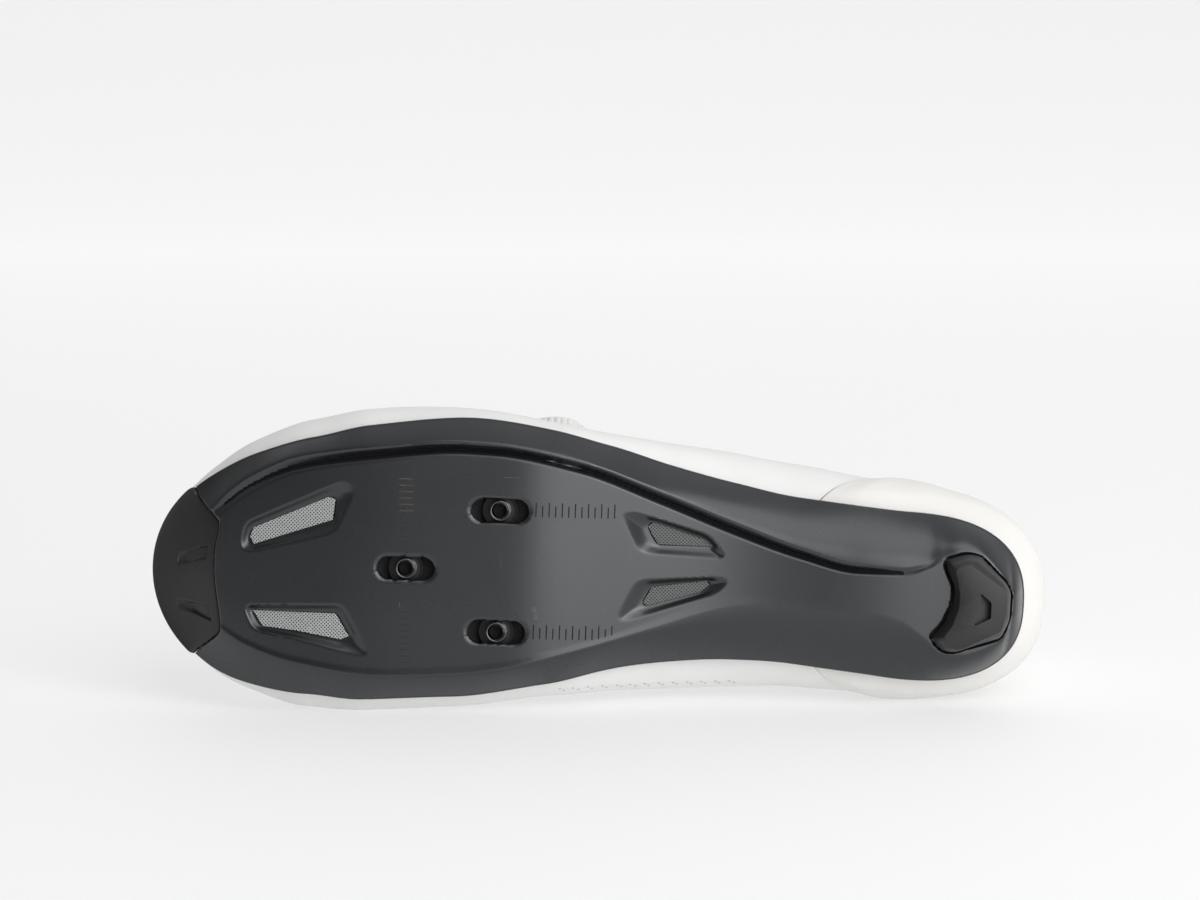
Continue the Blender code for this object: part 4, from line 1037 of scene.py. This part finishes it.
def section_rise(along, side, share):
    """The turn and the rise of a point at a share of the half section, over a place on the spine."""
    fine = np.linspace(0.02, math.pi - 0.02, 400)
    turn = np.interp(along, ray(fine)[2][::-1], fine[::-1])
    rise = np.arccos(np.clip(share ** (upper_at(ray(turn)[0], "fullness") / 2), 0, 1)) * 2 / math.pi
    return np.where(side > 0, turn, -turn), rise


def top_rise(turn):
    """How far up each ray the upper goes: to the collar, the throat or, in front of it, the ridge."""
    foot_along, _, spine_along, _ = ray(turn)
    edge = by_side(turn, foot_along, "edge")
    start = upper_foot(turn)
    top = INSTEP_HEIGHT * upper_at(spine_along, "ridge")
    share = np.clip((INSTEP_HEIGHT * edge - start) / (top - start), 0, 1)
    return np.arcsin(share ** (upper_at(foot_along, "fullness") / 2)) * 2 / math.pi


def throat_share(turn):
    """How far out from the spine the upper's top edge lies, as a share of the half section."""
    return np.cos(top_rise(turn) * math.pi / 2) ** (2 / upper_at(ray(turn)[0], "fullness"))


# Creases: where the forefoot flexes the microfibre has soft troughs, and the quarters a few more. Each has
# its station, how far across it is centred, its slant, its width and reach in millimetres, and its depth.
CREASES = (
    (0.650, 8.0, 0.18, 5.0, 26.0, 0.45),
    (0.705, -4.0, -0.12, 6.0, 30.0, 0.40),
    (0.760, 2.0, 0.05, 7.0, 26.0, 0.25),
    (0.480, 33.0, 0.50, 6.0, 16.0, 0.40),
    (0.425, 30.0, -0.35, 5.0, 14.0, 0.35),
    (0.300, 30.0, 0.60, 7.0, 16.0, 0.35),
    (0.470, -33.0, 0.40, 6.0, 15.0, 0.30),
    (0.330, -32.0, -0.40, 6.0, 15.0, 0.30),
)


def creased(points):
    """Depth of the creases at points: a bell across each slanted line and another along it.

    A bell half as deep beside the first is taken off, for the soft ridge next to each trough.
    """
    along, across = points[..., 0], points[..., 1]
    depth = 0 * along
    for station, side, slant, width, reach, deep in CREASES:
        off, far = along - station * SOLE_LENGTH, across - side
        beside, beyond = off - slant * far, far + slant * off
        trough = np.exp(-(beside / width) ** 2 - (beyond / reach) ** 2)
        ridge = np.exp(-((beside - 1.7 * width) / width) ** 2 - (beyond / reach) ** 2)
        depth += deep * trough - 0.5 * deep * ridge
    return depth * eased((points[..., 2] - 30) / 18)


white = new_finish("white_microfibre", WHITE, 0.42)
clouded(white, 60.0, 5.0, [("Base Color", (0.735, 0.735, 0.727), (0.78, 0.78, 0.775))])
clouded(white, 220.0, 4.0, [("Roughness", 0.36, 0.50)])
clouded(white, 1900.0, 4.0, bump=0.00006)
cloth = new_finish("lining_cloth", (0.62, 0.62, 0.62), 0.85, [("Sheen Weight", 0.3)])
clouded(cloth, 1400.0, 2.0, [("Base Color", (0.50, 0.50, 0.505), (0.70, 0.70, 0.70))], 0.00025)

UPPER_TURNS = 620
UPPER_ROWS = 78
COLLAR_PAD = 3.4
walk = even_turns(UPPER_TURNS)[None, :]
climb = np.linspace(0.0, 1.0, UPPER_ROWS)[:, None] ** 1.5
rise = climb * top_rise(walk)
outside = skin(walk, rise, -creased(last_surface(walk, rise)))
open_share = eased((0.985 - top_rise(walk)) / 0.02)
near_heel = eased((0.40 - ray(walk)[0] / SOLE_LENGTH) / 0.10)
top = top_rise(walk)
lip = []
for angle in np.radians((20, 55, 90, 125, 160)):
    over = UPPER_WALL / 2 * math.sin(angle) * 0.016 * open_share
    inward = UPPER_WALL / 2 * (1 - math.cos(angle))
    lip.append(skin(walk, np.minimum(top + over, 0.9999), -inward + 0 * walk)[0])
drop = np.linspace(1.0, 0.03, 30)[:, None]
thick = UPPER_WALL + COLLAR_PAD * near_heel * np.exp(-((drop - 0.84) / 0.13) ** 2)
lining = skin(walk, drop * top, -thick)
start = upper_foot(walk[0])
margin = [on_ray(walk[0], share, start + 0 * walk[0]) for share in (LEDGE, 0.93, 0.975)]
turned_in = [on_ray(walk[0], share, start + UPPER_WALL + 0 * walk[0]) for share in (0.95, LEDGE)]
rings = np.concatenate([margin, outside, lip, lining, turned_in])
faces = grid(*rings.shape[:2], round_rows=True, round_columns=True)
upper = surface("upper_lasted", rings, faces, [white, cloth])
lined_from = len(margin) + UPPER_ROWS + 3
lined = np.repeat(np.arange(rings.shape[0]) >= lined_from, rings.shape[1])
upper.data.polygons.foreach_set("material_index", lined.astype(np.int32))
sewn(upper, merged=True)
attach(upper, "shoe")
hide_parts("upper")

# Pinholes: a row of paired needle holes along the medial side, low down, where the lining is tacked. Each
# is drawn as a small dark oval that lies on the upper: painted shade for the hole.
PINHOLES = 13
PIN_START = 144.2
PIN_STEP = 4.5
PIN_LINE = (-39.7, -36.9)
PIN_PAIR = (0.7, 0.5)
PIN_LONG = 0.75
PIN_WIDE = 0.42
PIN_PROUD = 0.14
PIN_CORNERS = 10


def on_last(along, across, turn_range, rise_range):
    """The turn and rise of points seen from below: the nearest of a fine grid on that part of the last."""
    turn, rise = np.meshgrid(np.linspace(*turn_range, 700), np.linspace(*rise_range, 160))
    spots = last_surface(turn, rise)
    found = []
    for place in zip(along, across):
        at = np.argmin(np.hypot(spots[..., 0] - place[0], spots[..., 1] - place[1]))
        found.append((turn.ravel()[at], rise.ravel()[at]))
    return np.array(found).T


# Painted shade: a grey finish for the ovals, standing for the shade in each hole.
shadow = new_finish("pinhole_painted_shade", (0.30, 0.30, 0.30), 0.8)
row_along = PIN_START - PIN_STEP * np.arange(PINHOLES)
row_across = np.linspace(*PIN_LINE, PINHOLES)
pairs_along = np.concatenate([row_along + PIN_PAIR[0], row_along - PIN_PAIR[0]])
pairs_across = np.concatenate([row_across, row_across - PIN_PAIR[1]])
pin_turn, pin_rise = on_last(pairs_along, pairs_across, (-math.pi + 0.4, -0.6), (0.002, 0.07))
middle = skin(pin_turn, pin_rise, PIN_PROUD + 0 * pin_rise)
ahead = unit(skin(pin_turn + 1e-3, pin_rise, PIN_PROUD + 0 * pin_rise) - middle)
higher = skin(pin_turn, pin_rise + 1e-3, PIN_PROUD + 0 * pin_rise) - middle
higher = unit(higher - np.sum(higher * ahead, axis=-1, keepdims=True) * ahead)
angle = np.linspace(0, 2 * math.pi, PIN_CORNERS, endpoint=False)[None, :, None]
spots = middle[:, None] + ahead[:, None] * np.cos(angle) * PIN_LONG / 2
spots = spots + higher[:, None] * np.sin(angle) * PIN_WIDE / 2
faces = np.arange(len(middle) * PIN_CORNERS).reshape(-1, PIN_CORNERS).tolist()
pinholes = surface("pinholes", spots, faces, [shadow])
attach(pinholes, "shoe")

# Heel counter: a stiff panel, slightly warmer than the upper, bonded round the heel. Its front edges sweep
# back as they rise, all its edges are skived thin, and it thins out towards the sole and the front.
COUNTER_WRAP = 1.02
COUNTER_SWEEP = 0.40
COUNTER_TOP = 0.70
COUNTER_LONG = 190.0
COUNTER_HIGH = 46.0
COUNTER_SKIVE = 0.8
COUNTER_FEATHER = 9.0
BOND = 0.08


def cushion(name, outer, inner, finishes):
    """A closed form from an outer and an inner grid whose edges meet: their borders are merged."""
    rows, columns = outer.shape[:2]
    below = (np.array(grid(rows, columns)) + rows * columns)[:, ::-1]
    points = np.concatenate([outer.reshape(-1, 3), inner.reshape(-1, 3)])
    return sewn(surface(name, points, grid(rows, columns) + below.tolist(), finishes), merged=True)


def skived(across, down, length, height, reach):
    """Share of the full thickness near a panel's border: a quarter circle over a reach in millimetres."""
    gap = np.minimum((1 - np.abs(across)) * length / 2, np.minimum(down, 1 - down) * height)
    inside = np.clip(1 - gap / reach, 0, 1)
    return np.sqrt(1 - inside**2)


panel = new_finish("counter_panel", (0.84, 0.83, 0.80), 0.36)
clouded(panel, 75.0, 4.0, [("Base Color", (0.715, 0.707, 0.685), (0.755, 0.748, 0.728)),
                           ("Roughness", 0.32, 0.44)])
clouded(panel, 2100.0, 3.0, bump=0.00004)
across = np.linspace(-1, 1, 301)[None, :]
down = np.linspace(0, 1, 90)[:, None]
panel_turn = math.pi - across * (COUNTER_WRAP - COUNTER_SWEEP * down**1.5)
panel_rise = COUNTER_TOP * down**2.1 * top_rise(panel_turn)
thick = skived(across, down, COUNTER_LONG, COUNTER_HIGH, COUNTER_SKIVE)
thick = thick * (0.25 + 0.75 * eased((1 - np.abs(across)) * COUNTER_LONG / 2 / COUNTER_FEATHER))
thick = thick * (0.10 + 0.90 * eased(down * COUNTER_HIGH / COUNTER_FEATHER))
outer = skin(panel_turn, panel_rise, BOND + (SKIN_GAP + COUNTER_WALL - BOND) * thick)
inner = skin(panel_turn, panel_rise, BOND + 0 * thick)
counter = cushion("heel_counter_bonded", outer, inner, [panel])
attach(counter, "shoe")
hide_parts("heel_counter")

# Tongue: padded, pierced microfibre under the throat, with two stitched channels along it and nine across.
# It is sewn in at its lower end and stands above the collar at its top.
TONGUE_WALL = 3.0
TONGUE_WIDE = 60.0
TONGUE_LONG = 108.0
SOFT_GAP = 1.0
TONGUE_COLUMNS = ("station", "width")
TONGUE = (
    (0.352, 0.66),
    (0.420, 0.62),
    (0.550, 0.52),
    (0.660, 0.40),
    (0.745, 0.26),
)
padding = new_finish("tongue_padding", (0.76, 0.76, 0.755), 0.5)
fibres = clouded(padding, 1500.0, 4.0, [("Base Color", (0.71, 0.71, 0.705), (0.80, 0.80, 0.795))])
padding_tree = padding.node_tree
where = padding_tree.nodes.new("ShaderNodeTexCoord")
holes = padding_tree.nodes.new("ShaderNodeTexVoronoi")
holes.inputs["Scale"].default_value = 260.0
holes.inputs["Randomness"].default_value = 0.15
padding_tree.links.new(where.outputs["Object"], holes.inputs["Vector"])
bumped(padding, spread(padding_tree, holes.outputs["Distance"], 0.12, 0.22), 0.0004)
bumped(padding, fibres, 0.00008)
stations = column(TONGUE, TONGUE_COLUMNS, "station")
across = np.linspace(-1, 1, 121)[None, :]
down = np.linspace(0, 1, 220)[:, None]
station = stations[-1] + (stations[0] - stations[-1]) * down
reach = np.abs(across) * smooth(station, stations, column(TONGUE, TONGUE_COLUMNS, "width"))
tongue_turn, tongue_rise = section_rise(station * SOLE_LENGTH + 0 * across, across + 0 * station, reach)
plump = skived(across, down, TONGUE_WIDE, TONGUE_LONG, 2.2)
channel = 0.5 * np.exp(-((np.abs(across) - 0.34) / 0.035) ** 2)
channel = channel + 0.35 * np.exp(-(((down * 9) % 1 - 0.5) / 0.07) ** 2)
lift = -UPPER_WALL - SOFT_GAP - channel * eased(plump) * eased((down - 0.15) / 0.1)
middle_layer = -UPPER_WALL - SOFT_GAP - TONGUE_WALL / 2
outer = skin(tongue_turn, tongue_rise, middle_layer + (lift - middle_layer) * plump)
inner = skin(tongue_turn, tongue_rise, middle_layer - TONGUE_WALL / 2 * plump)
tongue = cushion("tongue_padded", outer, inner, [padding])
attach(tongue, "shoe")
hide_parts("tongue")

# Insole: a cupped foam footbed with a cloth face, laid loose on the plate. Its face is painted near black,
# as painted shade where it shows at the back of the slots.
footbed = new_finish("insole_cloth", (0.05, 0.05, 0.055), 0.9, [("Sheen Weight", 0.1)])
clouded(footbed, 2200.0, 3.0, [("Base Color", (0.012, 0.012, 0.013), (0.032, 0.032, 0.034))], 0.0003)
frame["nodes"]["insole"].material_slots[0].material = footbed

# Lace dials: two moulded winders on the lateral side. Each has a flanged base, sewn under the upper, and a
# ribbed knob with a plain ringed cap.
DIAL_BASE = 26.0
DIAL_BASE_WALL = 2.6
DIAL_KNOB = 22.0
DIAL_KNOB_WALL = 6.5
DIAL_RIBS = 30
DIAL_RIB_DEPTH = 0.55
DIALS = {
    "upper": {"station": 0.371, "round": 0.50, "exits": (0.350, 0.392)},
    "lower": {"station": 0.546, "round": 0.50, "exits": (0.525, 0.567)},
}
hard = new_finish("dial_plastic", (0.66, 0.66, 0.65), 0.32)
clouded(hard, 300.0, 4.0, [("Base Color", (0.62, 0.62, 0.61), (0.70, 0.70, 0.69)), ("Roughness", 0.26, 0.40)])
clouded(hard, 2600.0, 2.0, bump=0.00003)


def dial_axis(dial):
    """The middle of a dial on the last, the direction out of it and two directions across it."""
    turn = section_rise(np.array([dial["station"] * SOLE_LENGTH]), 1, 1.0)[0]
    low, high = (skin(turn, np.array([dial["round"]]), np.array([proud]))[0] for proud in (0.0, 1.0))
    out = unit(high - low)
    side = unit(np.cross(out, (0.0, 1.0, 0.0)))
    return low, out, side, np.cross(out, side)


def turned_round(name, dial, profile, finish, ribs=0, rib_depth=0.0, ribbed=(0.0, 0.0)):
    """A profile turned round a dial's axis, with ribs as a wave of its radius between two heights."""
    centre, out, side, other = dial_axis(dial)
    angle = np.linspace(0, 2 * math.pi, 240, endpoint=False)[None, :]
    radius = np.array([r for r, _ in profile])[:, None]
    height = np.array([h for _, h in profile])[:, None]
    band = eased((height - ribbed[0]) / 0.8) * eased((ribbed[1] - height) / 0.8) * (radius > ribbed[0])
    wave = np.abs(np.sin(angle * ribs / 2)) ** 0.7
    radius = radius - rib_depth * band * (1 - wave)
    points = centre + radius[..., None] * (np.cos(angle)[..., None] * side + np.sin(angle)[..., None] * other)
    points = points + (height + 0 * angle)[..., None] * out
    faces = grid(*points.shape[:2], round_rows=True, round_columns=True)
    made = sewn(surface(name, points, faces, [finish]))
    made.data.set_sharp_from_angle(angle=math.radians(45))
    return made


base, knob = DIAL_BASE / 2, DIAL_KNOB / 2
base_profile = [(base - 1.2, -1.7), (base - 0.1, -1.7), (base, 0.4), (base - 0.15, 1.0), (base - 0.6, 1.35),
                (knob + 0.5, 1.5), (knob + 0.2, 1.8), (knob, 2.4), (knob - 0.3, DIAL_BASE_WALL),
                (2.0, DIAL_BASE_WALL), (2.0, 0.4), (base - 2.0, 0.4)]
low, high = DIAL_BASE_WALL + CLEARANCE, DIAL_BASE_WALL + CLEARANCE + DIAL_KNOB_WALL
rows = np.linspace(low + 0.6, high - 1.3, 12)
cap = ((0.2, -0.7), (0.6, -0.25), (1.3, 0.0), (2.2, 0.0), (2.5, -0.35), (2.9, -0.45), (3.3, -0.1),
       (5.4, 0.05), (5.7, -0.2), (6.1, -0.2), (6.4, 0.1))
knob_profile = [(1.5, low), (knob - 0.9, low), (knob - 0.3, low + 0.2), *[(knob, level) for level in rows],
                *[(knob - inward, high + lift) for inward, lift in cap],
                (1.0, high + 0.15), (0.05, high + 0.15), (0.05, low + 0.1)]
for name, dial in DIALS.items():
    made = turned_round("dial_seat_" + name, dial, base_profile, hard)
    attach(made, "shoe")
    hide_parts("dial_base_" + name)
    ribbed = (low + 0.3, high - 0.6)
    made = turned_round("dial_grip_" + name, dial, knob_profile, hard, DIAL_RIBS, DIAL_RIB_DEPTH, ribbed)
    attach(made, "shoe")
    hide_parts("dial_knob_" + name)

# Laces: thin coated cords. Each runs from its dial across the tongue, round a guide on the medial side and
# back into the dial.
LACE = 1.3
LACE_LIFT = 1.6
LACE_START = 0.50
LACE_REACH = 0.56
LACE_BEND = 0.10
LACE_DROP = 0.16
LACE_EDGE = 0.04
LACE_SIDES = 12
braid = new_finish("lace_coating", (0.50, 0.50, 0.51), 0.38)
clouded(braid, 1800.0, 2.0, [("Base Color", (0.40, 0.40, 0.41), (0.58, 0.58, 0.59))], 0.00012)


def lace_route(dial, count):
    """The lace's points: out of the dial, down onto the tongue, up round the guide, and back."""
    rear, front = (share * SOLE_LENGTH for share in dial["exits"])
    run = np.linspace(LACE_START, -LACE_REACH, count)
    bend = np.radians(np.linspace(-90, 90, 21)[1:-1])
    middle, half = (rear + front) / 2, (front - rear) / 2
    along = np.concatenate([rear + 0 * run, middle + half * np.sin(bend), front + 0 * run])
    across = np.concatenate([run, -LACE_REACH - LACE_BEND * np.cos(bend), run[::-1]])
    turn, rise = section_rise(along, across, np.abs(across))
    sink = eased((throat_share(turn) - LACE_EDGE - np.abs(across)) / LACE_DROP)
    on_tongue = LACE / 2 + CLEARANCE - UPPER_WALL - SOFT_GAP
    return skin(turn, rise, LACE_LIFT + (on_tongue - LACE_LIFT) * sink)


def cord_tube(name, route, thickness, finish):
    """A round tube carried along a route: each section stands square to the route's own direction."""
    ahead = unit(np.gradient(route, axis=0))
    side = unit(np.cross(ahead, (0.0, 0.0, 1.0)))
    other = np.cross(ahead, side)
    angle = np.linspace(0, 2 * math.pi, LACE_SIDES, endpoint=False)[None, :, None]
    points = route[:, None] + thickness / 2 * (np.cos(angle) * side[:, None] + np.sin(angle) * other[:, None])
    return sewn(surface(name, points, tube_faces(len(route), LACE_SIDES), [finish]))


for name, dial in DIALS.items():
    lace = cord_tube("lace_run_" + name, lace_route(dial, 90), LACE, braid)
    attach(lace, "shoe")
    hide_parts("lace_" + name)

# Lace guides: moulded loops bonded to the medial edge of the throat, which the laces turn in.
GUIDE_WALL = 2.8
GUIDE_LONG = 11.0
GUIDE_BOND = 0.1
GUIDE_MARGIN = 2.5
GUIDE_INNER = 0.54
GUIDE_OUTER = 0.72
across = np.linspace(-1, 1, 61)[None, :]
down = np.linspace(0, 1, 61)[:, None]
for name, dial in DIALS.items():
    rear, front = (share * SOLE_LENGTH for share in dial["exits"])
    along = (rear + front) / 2 + across * ((front - rear) / 2 + GUIDE_MARGIN)
    place = -(GUIDE_INNER + (GUIDE_OUTER - GUIDE_INNER) * down)
    guide_turn, guide_rise = section_rise(along + 0 * down, place + 0 * across, np.abs(place) + 0 * across)
    thick = skived(across, down, front - rear + 2 * GUIDE_MARGIN, GUIDE_LONG, 1.6)
    waist = 0.5 * np.exp(-((down - 0.5) / 0.16) ** 2) * np.exp(-(across / 0.6) ** 2)
    raised = SKIN_GAP + GUIDE_WALL - GUIDE_BOND - waist
    outer = skin(guide_turn, guide_rise, GUIDE_BOND + raised * thick)
    inner = skin(guide_turn, guide_rise, GUIDE_BOND + 0 * thick)
    guide = cushion("lace_loop_" + name, outer, inner, [hard])
    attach(guide, "shoe")
    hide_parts("lace_guide_" + name)
